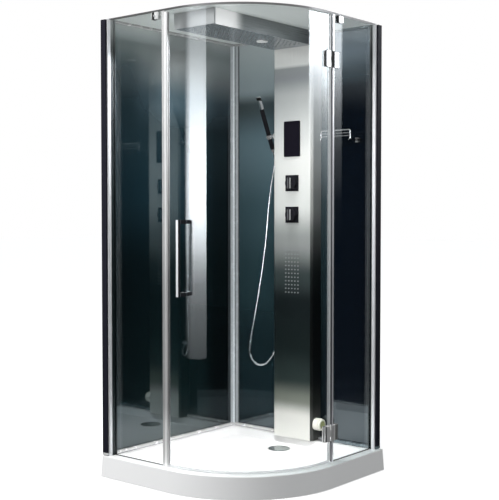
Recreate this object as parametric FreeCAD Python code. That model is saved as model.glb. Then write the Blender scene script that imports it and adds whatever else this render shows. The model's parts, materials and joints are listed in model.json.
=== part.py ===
"""Quadrant steam shower cabin.

Frame: origin at the bottom centre of the square tray, +Z up, millimetres.
The two walls stand at -X (left wall) and +Y (right wall) and meet in the back corner.
The curved door faces +X -Y. Shapes at the right wall and the right glass mirror the
left ones across the diagonal plane x = -y.
"""
import FreeCAD, Part
import math
import os

V = FreeCAD.Vector
os.makedirs("parts", exist_ok=True)

# ---------------------------------------------------------------- cabin and tray
tray_side = 1000.0
tray_corner_radius = 550.0
tray_rim_z = 107.0
tray_floor_z = 74.0
skirt_bottom_z = 2.0
skirt_draft = 6.0
rim_edge_radius = 4.0
acrylic = 5.0
basin_inset = 78.0
basin_slope = 26.0
basin_corner_radius = 40.0

roof_top_z = 2238.0
roof_thickness = 10.0

# ---------------------------------------------------------------- tray support
rail_size = 30.0
rail_wall = 2.0
long_rail_inset = 170.0
left_rail_front_inset = 100.0
right_rail_front_inset = 350.0
front_rail_reach = 220.0
middle_rail_to_drain = 280.0
back_rail_inset = 100.0
foot_pad_radius = 22.0
foot_pad_height = 8.0
foot_stem_radius = 6.0
foot_nut_radius = 11.0
foot_nut_height = 10.0
foot_hole_clearance = 0.2

# ---------------------------------------------------------------- drain
drain_inset = 220.0
drain_flange_radius = 63.0
drain_flange_thickness = 2.0
drain_recess_depth = 4.0
drain_cup_radius = 44.0
drain_cup_bottom_z = 13.0
drain_wall = 3.0
drain_hole_clearance = 0.5
spigot_radius = 20.0
spigot_wall = 2.5
spigot_reach = 104.0
spigot_z = 36.0
cover_radius = 56.0
cover_thickness = 3.0
cover_bevel = 2.0
cover_leg_height = 2.0
cover_skirt_radius = 38.0
cover_skirt_depth = 5.0

# ---------------------------------------------------------------- walls
wall_face_inset = 6.0
wall_glass_inset = 24.0
wall_glass_thickness = 6.0
wall_frame_inset = 50.0
left_wall_end_inset = 6.0
right_wall_end_inset = 20.0
glass_slot_gap = 0.5
slot_depth = 12.0
base_seal_height = 3.0
base_rail_height = 12.0
base_rail_groove = 6.0
post_width = 34.0
post_depth = 42.0
post_top_gap = 2.0
post_chamfer = 2.0
extrusion_wall = 2.0
channel_width = 9.0
channel_slot_depth = 5.0
channel_setback = 8.0
channel_back_inset = 64.0
top_rail_height = 11.0
corner_chamfer = 8.0
corner_flange = 4.0
corner_left_flange_width = 8.0
corner_right_flange_width = 22.0

# ---------------------------------------------------------------- front glass and strips
front_glass_inset = 52.0
front_glass_thickness = 6.0
strip_thickness = 14.0
closing_strip_setback = 56.0
closing_strip_width = 15.0
strip_gap = 2.0
magnet_strip_width = 18.0
magnet_slot_depth = 9.0
right_strip_setback = 61.0
right_strip_width = 12.0
right_strip_thickness = 10.0
right_strip_slot = 6.0
hinge_seal_width = 12.0
hinge_seal_slot = 6.0
hinge_seal_gap = 13.0
door_bottom_z = 118.0
door_top_gap = 6.0
bottom_seal_gap = 2.5
bottom_seal_lip = 2.0

# ---------------------------------------------------------------- hinges
hinge_axis_offset = 10.0
hinge_height = 76.0
upper_hinge_drop = 206.0
lower_hinge_z = 247.0
door_leaf_width = 42.0
fixed_leaf_width = 40.0
leaf_thickness = 7.0
leaf_chamfer = 1.5
web_thickness = 4.5
knuckle_radius = 8.0
middle_knuckle_height = 28.0
knuckle_gap = 0.3
hinge_pin_radius = 4.0
pin_clearance = 0.05
leaf_to_knuckle_gap = 4.0
screw_radius = 3.0
screw_clearance = 0.1
screw_head_radius = 5.5
screw_head_height = 2.0
screw_spacing = 40.0
glass_hole_radius = 6.0

# ---------------------------------------------------------------- door handle
handle_angle = -82.5
handle_bottom_z = 912.0
handle_length = 350.0
handle_width = 14.0
handle_depth = 18.0
handle_standoff = 43.0
handle_edge_chamfer = 1.0
handle_glass_gap = 0.1
handle_bolt_radius = 4.0
handle_bolt_depth = 20.0

# ---------------------------------------------------------------- roof clamps
clamp_width = 45.0
clamp_height = 34.0
clamp_plate = 7.0
clamp_ledge = 24.0
clamp_ledge_height = 8.0
left_clamp_setback = 115.0
right_clamp_setback = 122.0

# ---------------------------------------------------------------- column
column_half_width = 128.0
column_depth = 80.0
column_edge = 11.0
column_bottom_z = 109.0
sheet = 2.0
back_plate_thickness = 4.0
back_plate_bottom_z = 126.0
back_plate_end_gap = 6.0

# ---------------------------------------------------------------- overhead shower box
box_half_width = 125.0
box_length = 815.0
box_height = 73.0
rain_plate_thickness = 3.0
rain_plate_margin = 2.0
rain_plate_to_column = 2.0
nozzle_pitch = 30.0
nozzle_columns = 7
nozzle_rows = 20
nozzle_field_inset = 120.0
nozzle_radius = 2.5
nozzle_length = 5.0
water_box_height = 20.0
water_box_margin = 14.0
light_inset = 505.0
light_radius = 29.0
light_depth = 5.0
light_body_radius = 24.0
light_body_height = 30.0
light_clearance = 1.0

# ---------------------------------------------------------------- touch screen, knobs and jets
screen_width = 103.0
screen_height = 185.0
screen_bottom_z = 1589.0
screen_thickness = 6.0
screen_corner = 4.0
control_box_width = 96.0
control_box_depth = 36.0
control_box_height = 150.0
knob_plate_side = 84.0
knob_plate_thickness = 5.0
mixer_z = 1451.0
diverter_z = 1286.0
knob_radius = 34.0
knob_depth = 14.0
knob_gap = 0.3
lever_width = 8.0
lever_length = 54.0
lever_depth = 20.0
spindle_radius = 5.0
spindle_clearance = 0.05
spindle_length = 30.0
valve_half_width = 28.0
valve_front_gap = 8.0
valve_depth = 50.0
valve_nose_radius = 14.0
jet_columns = 5
jet_rows = 12
jet_pitch = 20.0
jet_first_z = 879.0
jet_radius = 3.5
jet_length = 4.0
jet_hole_clearance = 0.1
manifold_margin = 14.0
manifold_depth = 30.0

# ---------------------------------------------------------------- pipes
pipe_radius = 8.0
pipe_bend = 20.0
pipe_wall_distance = 40.0
riser_x = 95.0
feed_x = 60.0
inlet_radius = 10.48
inlet_hole_radius = 14.0
inlet_length = 28.0
inlet_hole_clearance = 2.0

# ---------------------------------------------------------------- steam parts
generator_half_width = 80.0
generator_wall_gap = 10.0
generator_depth = 55.0
generator_bottom_z = 260.0
generator_height = 260.0
steam_pipe_x = 60.0
steam_outlet_wall_distance = 40.0
steam_outlet_z = 195.0
steam_outlet_radius = 32.0
steam_outlet_length = 30.0
steam_bore_radius = 8.0
aroma_cap_radius = 29.0
aroma_cap_length = 12.0
aroma_plug_radius = 20.0
aroma_plug_length = 10.0
aroma_clearance = 0.3

# ---------------------------------------------------------------- hand shower
handset_to_column = 37.0
handset_top_wall_distance = 158.0
handset_top_z = 1902.0
handset_lean = 24.93
head_length = 66.0
head_radius = 13.0
grip_radius = 12.0
grip_end = 290.0
nut_radius = 9.0
nut_length = 18.0
spray_face_depth = 1.5
collar_at = 221.0
collar_length = 20.0
collar_wall = 4.0
collar_clearance = 0.5
stub_radius = 8.0
stub_flange_radius = 16.0
stub_flange_thickness = 4.0
holder_gap = 0.3
holder_pin_radius = 4.0
holder_pin_length = 6.0
hose_radius = 5.5
hose_first_run = 33.0
hose_start_gap = 0.4
outlet_wall_distance = 45.0
outlet_z = 545.0
outlet_reach = 14.0
outlet_ball_radius = 10.0
outlet_flange_radius = 15.0
outlet_nipple_radius = 8.0
outlet_nipple_length = 14.0

# The hose hangs through these points: to the left of the column, off the wall glass, above the floor.
hose_route = [
    (40.5, 13.0, 1545.0),
    (46.0, 27.0, 1478.0),
    (50.0, 40.0, 1400.0),
    (53.0, 53.0, 1290.0),
    (56.0, 65.0, 1160.0),
    (66.0, 79.0, 1020.0),
    (81.0, 94.0, 880.0),
    (97.0, 110.0, 745.0),
    (112.0, 123.0, 635.0),
    (119.0, 129.0, 577.0),
    (116.0, 130.0, 533.0),
    (98.0, 125.0, 498.0),
    (68.0, 112.0, 480.0),
    (38.0, 94.0, 486.0),
    (21.0, 76.0, 511.0),
]

# ---------------------------------------------------------------- shelf
shelf_to_column = 54.0
shelf_width = 196.0
shelf_depth = 98.0
shelf_bottom_z = 1660.0
shelf_thickness = 6.0
shelf_corner = 12.0
rail_post_inset = 9.0
rail_height = 44.0
rail_wire_radius = 3.0
rail_bend = 9.0
rail_ball_radius = 5.0
thin_wire_radius = 1.5
thin_wire_steps = [15.0, 29.0]
bracket_inset = 20.0
bracket_width = 20.0
bracket_height = 22.0
bracket_reach = 16.0

# ---------------------------------------------------------------- worked-out positions
half = tray_side / 2
arc_x = half - tray_corner_radius
arc_y = -arc_x
drain_y = half - drain_inset
spigot_end_y = drain_y + spigot_reach
long_rail_x = half - long_rail_inset
left_rail_front_y = -half + left_rail_front_inset
right_rail_front_y = -half + right_rail_front_inset
front_rail_y = -half + long_rail_inset
front_rail_end_x = arc_x + front_rail_reach
middle_rail_y = drain_y - middle_rail_to_drain
back_rail_y = half - back_rail_inset
long_rail_back_y = back_rail_y + rail_size / 2
closing_strip_x = arc_x - closing_strip_setback
right_strip_y = arc_y + right_strip_setback
left_clamp_x = arc_x - left_clamp_setback
right_clamp_y = arc_y + right_clamp_setback
roof_bottom_z = roof_top_z - roof_thickness
wall_glass_face = half - wall_glass_inset - wall_glass_thickness
wall_glass_back = half - wall_glass_inset
frame_face = half - wall_frame_inset
outer_face = half - wall_face_inset
base_rail_z = tray_rim_z + base_seal_height
base_rail_top_z = base_rail_z + base_rail_height
top_rail_z = roof_bottom_z - top_rail_height
glass_out = half - front_glass_inset
glass_in = glass_out - front_glass_thickness
glass_mid = (glass_out + glass_in) / 2
glass_radius_out = tray_corner_radius - front_glass_inset
glass_radius_in = glass_radius_out - front_glass_thickness
channel_x = outer_face - post_width
door_top_z = roof_bottom_z - door_top_gap
door_edge_x = closing_strip_x + strip_gap + magnet_slot_depth
hinge_seal_end_y = right_strip_y - hinge_seal_gap
door_edge_y = hinge_seal_end_y - hinge_seal_slot
hinge_x = glass_out + hinge_axis_offset
hinge_y = (right_strip_y + hinge_seal_end_y) / 2
door_leaf_end_y = hinge_y - knuckle_radius - leaf_to_knuckle_gap
fixed_leaf_start_y = hinge_y + knuckle_radius + leaf_to_knuckle_gap
upper_hinge_z = door_top_z - upper_hinge_drop
lower_z = lower_hinge_z - hinge_height / 2
upper_z = upper_hinge_z - hinge_height / 2
basin_floor_underside_z = tray_floor_z - acrylic
rail_bottom_z = basin_floor_underside_z - rail_size
column_front_y = wall_glass_face - column_depth
column_inner_y = column_front_y + sheet
pipe_plane_y = wall_glass_face - pipe_wall_distance
generator_back_y = wall_glass_face - generator_wall_gap
generator_front_y = generator_back_y - generator_depth
steam_outlet_y = wall_glass_face - steam_outlet_wall_distance
outlet_y = wall_glass_face - outlet_wall_distance
box_front_y = frame_face - box_length
box_bottom_z = roof_bottom_z - box_height
rain_plate_back_y = column_front_y - rain_plate_to_column
nozzle_first_y = box_front_y + nozzle_field_inset
light_y = box_front_y + light_inset
shelf_left_x = column_half_width + shelf_to_column
shelf_right_x = shelf_left_x + shelf_width
shelf_front_y = wall_glass_face - shelf_depth
handset_x = -column_half_width - handset_to_column
handset_top = V(handset_x, wall_glass_face - handset_top_wall_distance, handset_top_z)
handset_down = V(0, math.sin(math.radians(handset_lean)), -math.cos(math.radians(handset_lean)))
hose_points = [V(-column_half_width - left, wall_glass_face - off_wall, z) for left, off_wall, z in hose_route]
box_floor_top_z = box_bottom_z + rain_plate_thickness
knob_plate_y = column_front_y - knob_plate_thickness
knob_back_y = knob_plate_y - knob_gap
knob_front_y = knob_back_y - knob_depth
valve_front_y = column_inner_y + valve_front_gap
foot_places = [
    (-long_rail_x, left_rail_front_y + rail_size),
    (-long_rail_x, back_rail_y - 2 * rail_size),
    (long_rail_x, back_rail_y - 2 * rail_size),
    (long_rail_x, right_rail_front_y + rail_size),
    (front_rail_end_x - rail_size, front_rail_y),
    (0.0, middle_rail_y),
]


# ================================================================ helpers
def box(x0, x1, y0, y1, z0, z1):
    return Part.makeBox(x1 - x0, y1 - y0, z1 - z0, V(x0, y0, z0))


def rod(radius, start, end):
    along = end.sub(start)
    return Part.makeCylinder(radius, along.Length, start, along)


def tube(outer, inner, start, end):
    return rod(outer, start, end).cut(rod(inner, start, end))


def to_right(shape):
    """The same piece on the other wall or glass, mirrored across x = -y."""
    return shape.mirror(V(0, 0, 0), V(1, 1, 0))


def save(node, shapes):
    """Write one node; a list is a group of separate solids."""
    shape = Part.makeCompound(shapes) if isinstance(shapes, list) else shapes
    shape.exportStep(os.path.join("parts", node + ".step"))


def bevel(shape, size, wanted):
    """Chamfer the straight edges that the test picks."""
    picked = [edge for edge in shape.Edges if wanted(edge)]
    return shape.makeChamfer(size, picked)


def upright(edge):
    ends = [vertex.Point for vertex in edge.Vertexes]
    return len(ends) == 2 and ends[0].sub(ends[1]).Length - abs(ends[0].z - ends[1].z) < 1e-6


def plan_wire(z, front, wall, corner=0.0):
    """Outline of the cabin seen from above: two walls, two front flats and the front arc.

    front is the inset of the flats and the arc, wall that of the two wall sides.
    corner rounds the three square corners.
    """
    left, back = -half + wall, half - wall
    near, far = -half + front, half - front
    radius = tray_corner_radius - front
    arc_middle = V(arc_x + radius * math.sqrt(0.5), arc_y - radius * math.sqrt(0.5), z)
    start, end = V(arc_x, near, z), V(far, arc_y, z)
    edges = [Part.Arc(start, arc_middle, end).toShape()]
    places = [(V(far, back, z), V(0, 1, 0)), (V(left, back, z), V(-1, 0, 0)), (V(left, near, z), V(0, -1, 0))]
    turns = [V(-1, 0, 0), V(0, -1, 0), V(1, 0, 0)]
    here = end
    for (point, before), after in zip(places, turns):
        if corner > 0:
            first = point.sub(before * corner)
            last = point.add(after * corner)
            middle = point.add((after - before) * (corner * (1 - math.sqrt(0.5))))
            edges.append(Part.makeLine(here, first))
            edges.append(Part.Arc(first, middle, last).toShape())
            here = last
        else:
            edges.append(Part.makeLine(here, point))
            here = point
    edges.append(Part.makeLine(here, start))
    return Part.Wire(edges)


def plan_block(z0, z1, front, wall, corner=0.0):
    return Part.Face(plan_wire(z0, front, wall, corner)).extrude(V(0, 0, z1 - z0))


def front_band(start_x, end_y, outer_inset, inner_inset, z0, z1):
    """A band along the curved front, from start_x on the left flat to end_y on the right flat."""
    outer, inner = half - outer_inset, half - inner_inset
    outer_radius, inner_radius = tray_corner_radius - outer_inset, tray_corner_radius - inner_inset
    diagonal = math.sqrt(0.5)
    edges = [
        Part.makeLine(V(start_x, -outer, z0), V(arc_x, -outer, z0)),
        Part.Arc(V(arc_x, -outer, z0),
                 V(arc_x + outer_radius * diagonal, arc_y - outer_radius * diagonal, z0),
                 V(outer, arc_y, z0)).toShape(),
        Part.makeLine(V(outer, arc_y, z0), V(outer, end_y, z0)),
        Part.makeLine(V(outer, end_y, z0), V(inner, end_y, z0)),
        Part.makeLine(V(inner, end_y, z0), V(inner, arc_y, z0)),
        Part.Arc(V(inner, arc_y, z0),
                 V(arc_x + inner_radius * diagonal, arc_y - inner_radius * diagonal, z0),
                 V(arc_x, -inner, z0)).toShape(),
        Part.makeLine(V(arc_x, -inner, z0), V(start_x, -inner, z0)),
        Part.makeLine(V(start_x, -inner, z0), V(start_x, -outer, z0)),
    ]
    return Part.Face(Part.Wire(edges)).extrude(V(0, 0, z1 - z0))


def bent_path(points, bends):
    """Straight runs through the points, joined by tangent arcs of the given radii."""
    edges = []
    here = points[0]
    for before, corner, after, radius in zip(points, points[1:], points[2:], bends):
        back = before.sub(corner).normalize()
        ahead = after.sub(corner).normalize()
        turn = math.pi - back.getAngle(ahead)
        setback = radius * math.tan(turn / 2)
        first = corner.add(back * setback)
        last = corner.add(ahead * setback)
        inward = back.add(ahead).normalize()
        middle = corner.add(inward * (radius / math.cos(turn / 2) - radius))
        edges.append(Part.LineSegment(here, first).toShape())
        edges.append(Part.Arc(first, middle, last).toShape())
        here = last
    edges.append(Part.LineSegment(here, points[-1]).toShape())
    return Part.Wire(edges)


def pipe_along(path, radius):
    start = path.Edges[0].firstVertex().Point
    heading = path.Edges[0].tangentAt(path.Edges[0].FirstParameter)
    section = Part.Wire([Part.makeCircle(radius, start, heading)])
    return path.makePipeShell([section], True, False)


def bent_pipe(points, radius, bend):
    return pipe_along(bent_path(points, [bend] * (len(points) - 2)), radius)


# ================================================================ tray
def make_tray_shell():
    lower = plan_wire(skirt_bottom_z, 0, 0)
    upper = plan_wire(tray_rim_z, skirt_draft, skirt_draft)
    body = Part.makeLoft([lower, upper], True, True)
    rim_edges = [edge for edge in body.Edges
                 if all(abs(vertex.Point.z - tray_rim_z) < 1e-6 for vertex in edge.Vertexes)]
    body = body.makeFillet(rim_edge_radius, rim_edges)
    under_top = tray_rim_z - acrylic
    under_draft = skirt_draft * (under_top - skirt_bottom_z) / (tray_rim_z - skirt_bottom_z)
    hollow = Part.makeLoft([plan_wire(skirt_bottom_z, acrylic, acrylic),
                            plan_wire(under_top, acrylic + under_draft, acrylic + under_draft)], True, True)
    floor_inset = basin_inset + basin_slope
    basin = Part.makeLoft([plan_wire(tray_floor_z, floor_inset, floor_inset, basin_corner_radius),
                           plan_wire(tray_rim_z, basin_inset, basin_inset, basin_corner_radius)], True, True)
    skin = Part.makeLoft([plan_wire(basin_floor_underside_z, floor_inset - acrylic, floor_inset - acrylic,
                                    basin_corner_radius),
                          plan_wire(under_top, basin_inset - acrylic, basin_inset - acrylic,
                                    basin_corner_radius)], True, True)
    boss = rod(drain_flange_radius + acrylic, V(0, drain_y, basin_floor_underside_z - drain_recess_depth),
               V(0, drain_y, basin_floor_underside_z))
    shell = body.cut(hollow.cut(skin)).cut(basin).fuse(boss)
    recess = rod(drain_flange_radius + drain_hole_clearance,
                 V(0, drain_y, tray_floor_z - drain_recess_depth), V(0, drain_y, tray_floor_z))
    hole = rod(drain_cup_radius + drain_hole_clearance, V(0, drain_y, 0), V(0, drain_y, tray_floor_z))
    return shell.cut(recess).cut(hole).removeSplitter()


def square_tube(x0, x1, y0, y1, along_x):
    z0, z1 = rail_bottom_z, rail_bottom_z + rail_size
    outer = box(x0, x1, y0, y1, z0, z1)
    if along_x:
        inner = box(x0, x1, y0 + rail_wall, y1 - rail_wall, z0 + rail_wall, z1 - rail_wall)
    else:
        inner = box(x0 + rail_wall, x1 - rail_wall, y0, y1, z0 + rail_wall, z1 - rail_wall)
    return outer.cut(inner)


def make_tray_rails():
    reach = rail_size / 2
    holes = [rod(foot_stem_radius + foot_hole_clearance, V(x, y, rail_bottom_z - 1),
                 V(x, y, rail_bottom_z + rail_wall + 1)) for x, y in foot_places]
    rails = [
        square_tube(-long_rail_x - reach, -long_rail_x + reach, left_rail_front_y, long_rail_back_y, False),
        square_tube(long_rail_x - reach, long_rail_x + reach, right_rail_front_y, long_rail_back_y, False),
        square_tube(-long_rail_x + reach, front_rail_end_x, front_rail_y - reach, front_rail_y + reach, True),
        square_tube(-long_rail_x + reach, long_rail_x - reach, middle_rail_y - reach, middle_rail_y + reach,
                    True),
        square_tube(-long_rail_x + reach, long_rail_x - reach, back_rail_y - reach, back_rail_y + reach, True),
    ]
    drilled = []
    for rail in rails:
        for hole in holes:
            rail = rail.cut(hole)
        drilled.append(rail)
    return drilled


def make_levelling_feet():
    feet = []
    for x, y in foot_places:
        pad = Part.makeCylinder(foot_pad_radius, foot_pad_height, V(x, y, 0))
        stem = Part.makeCylinder(foot_stem_radius, rail_bottom_z + rail_size / 2 - foot_pad_height,
                                 V(x, y, foot_pad_height))
        nut = Part.makeCylinder(foot_nut_radius, foot_nut_height, V(x, y, rail_bottom_z - foot_nut_height))
        feet.append(pad.fuse(stem).fuse(nut).removeSplitter())
    return feet


def make_drain_body():
    flange_z = tray_floor_z - drain_recess_depth
    flange = Part.makeCylinder(drain_flange_radius, drain_flange_thickness, V(0, drain_y, flange_z))
    cup = Part.makeCylinder(drain_cup_radius, flange_z - drain_cup_bottom_z, V(0, drain_y, drain_cup_bottom_z))
    spigot = rod(spigot_radius, V(0, drain_y, spigot_z), V(0, spigot_end_y, spigot_z))
    hollow = Part.makeCylinder(drain_cup_radius - drain_wall, flange_z - drain_cup_bottom_z + drain_wall,
                               V(0, drain_y, drain_cup_bottom_z + drain_wall))
    bore = rod(spigot_radius - spigot_wall, V(0, drain_y, spigot_z), V(0, spigot_end_y, spigot_z))
    return flange.fuse(cup).fuse(spigot).cut(hollow).cut(bore).removeSplitter()


def make_drain_cover():
    """A disc with a bevelled rim on four legs, and a ring that drops into the cup."""
    flange_top = tray_floor_z - drain_recess_depth + drain_flange_thickness
    disc_z = flange_top + cover_leg_height
    disc = Part.makeCylinder(cover_radius, cover_thickness, V(0, drain_y, disc_z))
    cover = bevel(disc, cover_bevel, lambda edge: edge.CenterOfMass.z > disc_z + cover_thickness - 0.01)
    ring = tube(cover_skirt_radius, cover_skirt_radius - drain_wall,
                V(0, drain_y, disc_z - cover_skirt_depth), V(0, drain_y, disc_z))
    cover = cover.fuse(ring)
    leg_start = drain_cup_radius + drain_wall
    for step in range(4):
        leg = box(leg_start, cover_radius - drain_wall, drain_y - drain_wall, drain_y + drain_wall,
                  flange_top, disc_z)
        leg.rotate(V(0, drain_y, 0), V(0, 0, 1), 90 * step)
        cover = cover.fuse(leg)
    return cover.removeSplitter()


# ================================================================ walls
def wall_slot(y0, y1, z0, z1):
    """The slot round the left wall glass, with its side gap."""
    return box(-wall_glass_back - glass_slot_gap, -wall_glass_face + glass_slot_gap, y0, y1, z0, z1)


def wall_set(end_inset):
    """Glass, post, channel and rails of the left wall; the right wall is their mirror image."""
    end = -half + end_inset
    post_back = end + post_depth
    channel_front = end + channel_setback
    channel_back = -half + channel_back_inset
    glass_start = post_back - slot_depth
    glass_end = frame_face + slot_depth
    channel = box(-channel_x, -channel_x + channel_width, channel_front, channel_back,
                  tray_rim_z, roof_bottom_z)
    channel = bevel(channel, post_chamfer, lambda edge: upright(edge)
                    and edge.CenterOfMass.y < channel_front + 1)
    channel = channel.cut(box(-channel_x + channel_width - channel_slot_depth, -channel_x + channel_width + 1,
                              -glass_out - glass_slot_gap, -glass_in + glass_slot_gap,
                              tray_rim_z - 1, roof_top_z))
    channel_room = box(-channel_x, -frame_face + 1, end - 1, channel_back, tray_rim_z - 1, roof_top_z)
    post = box(-outer_face, -channel_x, end, post_back, base_rail_top_z, roof_bottom_z - post_top_gap)
    post = bevel(post, post_chamfer, lambda edge: upright(edge) and edge.CenterOfMass.x < -outer_face + 1)
    post = post.cut(wall_slot(glass_start, post_back + 1, base_rail_z, roof_top_z))
    post = post.cut(box(-outer_face + extrusion_wall, -channel_x - extrusion_wall, end + extrusion_wall,
                        glass_start - extrusion_wall, base_rail_z, roof_top_z))
    groove_floor = base_rail_top_z - base_rail_groove
    rail = box(-outer_face, -frame_face, end, frame_face, base_rail_z, base_rail_top_z).cut(channel_room)
    rail = rail.cut(wall_slot(glass_start, frame_face, groove_floor, base_rail_top_z + 1))
    seal = box(-outer_face + rim_edge_radius, -frame_face - base_seal_height, end + rim_edge_radius,
               frame_face, tray_rim_z, base_rail_z).cut(channel_room)
    glass_top = roof_bottom_z - top_rail_height / 2
    top_rail = box(-outer_face, -frame_face, channel_back, frame_face, top_rail_z, roof_bottom_z)
    top_rail = top_rail.cut(wall_slot(channel_back - 1, frame_face, top_rail_z - 1, glass_top))
    glass = box(-wall_glass_back, -wall_glass_face, glass_start, glass_end, groove_floor, glass_top)
    return {"glass": glass, "post": post, "channel": channel, "rail": rail, "seal": seal, "top": top_rail}


def make_corner_post():
    post = box(-outer_face, -frame_face, frame_face, outer_face, tray_rim_z, roof_bottom_z)
    post = bevel(post, corner_chamfer, lambda edge: upright(edge)
                 and edge.CenterOfMass.x > -frame_face - 1 and edge.CenterOfMass.y < frame_face + 1)
    groove_floor = base_rail_top_z - base_rail_groove
    glass_top = roof_bottom_z - top_rail_height / 2
    slot = wall_slot(frame_face - 1, frame_face + slot_depth, groove_floor, glass_top)
    chamber = box(-outer_face + extrusion_wall, -frame_face - slot_depth - extrusion_wall,
                  frame_face + slot_depth + extrusion_wall, outer_face - extrusion_wall,
                  tray_rim_z - 1, roof_top_z)
    left_flange = box(-wall_glass_face + glass_slot_gap, -wall_glass_face + corner_flange,
                      frame_face - corner_left_flange_width, frame_face, base_rail_top_z, top_rail_z)
    right_flange = to_right(box(-wall_glass_face + glass_slot_gap, -wall_glass_face + corner_flange,
                                frame_face - corner_right_flange_width, frame_face, base_rail_top_z, top_rail_z))
    post = post.cut(slot).cut(to_right(slot)).cut(chamber)
    return post.fuse(left_flange).fuse(right_flange).removeSplitter()


def drill_inlets(shape):
    for x in (-feed_x, feed_x):
        shape = shape.cut(rod(inlet_hole_radius, V(x, column_inner_y + 1, mixer_z), V(x, half, mixer_z)))
    return shape


# ================================================================ front glass
def make_fixed_glass(edge_inset, end_inset):
    """A flat panel beside the left wall, from its channel to edge_inset from the centre line."""
    start = -channel_x + channel_width - channel_slot_depth
    panel = box(start, -edge_inset, -glass_out, -glass_in, base_rail_z, roof_bottom_z)
    return panel


def make_glass_strip(outer_end, width, thickness, slot):
    """Profile on the free edge of a fixed panel; outer_end is the edge facing the door."""
    side = thickness / 2
    strip = box(outer_end - width, outer_end, -glass_mid - side, -glass_mid + side, tray_rim_z, roof_bottom_z)
    return strip.cut(box(outer_end - width - 1, outer_end - width + slot, -glass_out - glass_slot_gap,
                         -glass_in + glass_slot_gap, tray_rim_z - 1, roof_top_z))


def hinge_room(shape):
    """Clear a strip where the hinge leaves sit."""
    for z in (lower_z, upper_z):
        shape = shape.cut(box(glass_in - 2 * leaf_thickness, glass_out + 2 * leaf_thickness,
                              0, 2 * right_strip_y, z - 1, z + hinge_height + 1))
    return shape


def make_door_glass():
    glass = front_band(door_edge_x, door_edge_y, front_glass_inset, front_glass_inset + front_glass_thickness,
                       door_bottom_z, door_top_z)
    for z in screw_heights():
        glass = glass.cut(rod(glass_hole_radius, V(glass_in - 5, door_screw_y(), z),
                              V(glass_out + 5, door_screw_y(), z)))
    for z in handle_bolt_heights():
        hole = rod(glass_hole_radius, V(arc_x + glass_radius_in - 5, arc_y, z),
                   V(arc_x + glass_radius_out + 5, arc_y, z))
        glass = glass.cut(turn_to_handle(hole))
    return glass


def make_magnet_strip():
    side = strip_thickness / 2
    start = closing_strip_x + strip_gap
    strip = box(start, start + magnet_strip_width, -glass_mid - side, -glass_mid + side,
                tray_rim_z + bottom_seal_gap, door_top_z)
    return strip.cut(box(start + magnet_slot_depth, start + magnet_strip_width + 1,
                         -glass_out - glass_slot_gap, -glass_in + glass_slot_gap, door_bottom_z, door_top_z + 1))


def make_hinge_seal():
    side = right_strip_thickness / 2
    start = hinge_seal_end_y - hinge_seal_width
    seal = box(glass_mid - side, glass_mid + side, start, hinge_seal_end_y, door_bottom_z, door_top_z)
    seal = seal.cut(box(glass_in - glass_slot_gap, glass_out + glass_slot_gap, start - 1,
                        start + hinge_seal_slot, door_bottom_z - 1, door_top_z + 1))
    return hinge_room(seal)


def make_bottom_seal():
    return front_band(closing_strip_x + strip_gap + magnet_strip_width, hinge_seal_end_y - hinge_seal_width,
                      front_glass_inset - bottom_seal_lip,
                      front_glass_inset + front_glass_thickness + bottom_seal_lip,
                      tray_rim_z + bottom_seal_gap, door_bottom_z)


# ================================================================ hinges
def screw_heights():
    heights = []
    for centre in (lower_hinge_z, upper_hinge_z):
        heights += [centre - screw_spacing / 2, centre + screw_spacing / 2]
    return heights


def door_screw_y():
    return door_leaf_end_y - door_leaf_width / 2


def fixed_screw_y():
    return fixed_leaf_start_y + fixed_leaf_width / 2


def knuckle(z0, z1):
    return Part.makeCylinder(knuckle_radius, z1 - z0, V(hinge_x, hinge_y, z0))


def leaf_plate(y0, y1, z0, z1):
    plate = box(glass_out, glass_out + leaf_thickness, y0, y1, z0, z1)
    return bevel(plate, leaf_chamfer, lambda edge: edge.CenterOfMass.x > glass_out + leaf_thickness - 0.01)


def make_hinge(centre):
    z0, z1 = centre - hinge_height / 2, centre + hinge_height / 2
    inner_low, inner_high = centre - middle_knuckle_height / 2, centre + middle_knuckle_height / 2
    web_x = glass_out + leaf_thickness - web_thickness
    web_out = glass_out + leaf_thickness
    hole = rod(hinge_pin_radius + pin_clearance, V(hinge_x, hinge_y, z0 - 1), V(hinge_x, hinge_y, z1 + 1))
    door_leaf = leaf_plate(door_leaf_end_y - door_leaf_width, door_leaf_end_y, z0, z1)
    door_leaf = door_leaf.fuse(box(web_x, web_out - leaf_chamfer, door_leaf_end_y - leaf_chamfer, hinge_y,
                                   inner_low, inner_high))
    door_leaf = door_leaf.fuse(knuckle(inner_low, inner_high)).cut(hole)
    fixed_leaf = leaf_plate(fixed_leaf_start_y, fixed_leaf_start_y + fixed_leaf_width, z0, z1)
    for low, high in ((z0, inner_low - knuckle_gap), (inner_high + knuckle_gap, z1)):
        fixed_leaf = fixed_leaf.fuse(box(web_x, web_out - leaf_chamfer, hinge_y,
                                         fixed_leaf_start_y + leaf_chamfer, low, high))
        fixed_leaf = fixed_leaf.fuse(knuckle(low, high))
    fixed_leaf = fixed_leaf.cut(rod(hinge_pin_radius, V(hinge_x, hinge_y, z0 - 1), V(hinge_x, hinge_y, z1 + 1)))
    for z in (centre - screw_spacing / 2, centre + screw_spacing / 2):
        door_leaf = door_leaf.cut(screw_hole(door_screw_y(), z, screw_clearance))
        fixed_leaf = fixed_leaf.cut(screw_hole(fixed_screw_y(), z, screw_clearance))
    pin = Part.makeCylinder(hinge_pin_radius, hinge_height, V(hinge_x, hinge_y, z0))
    return door_leaf.removeSplitter(), fixed_leaf.removeSplitter(), pin


def screw_hole(y, z, clearance):
    return rod(screw_radius + clearance, V(glass_in - leaf_thickness - 5, y, z), V(glass_out + 5, y, z))


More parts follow.
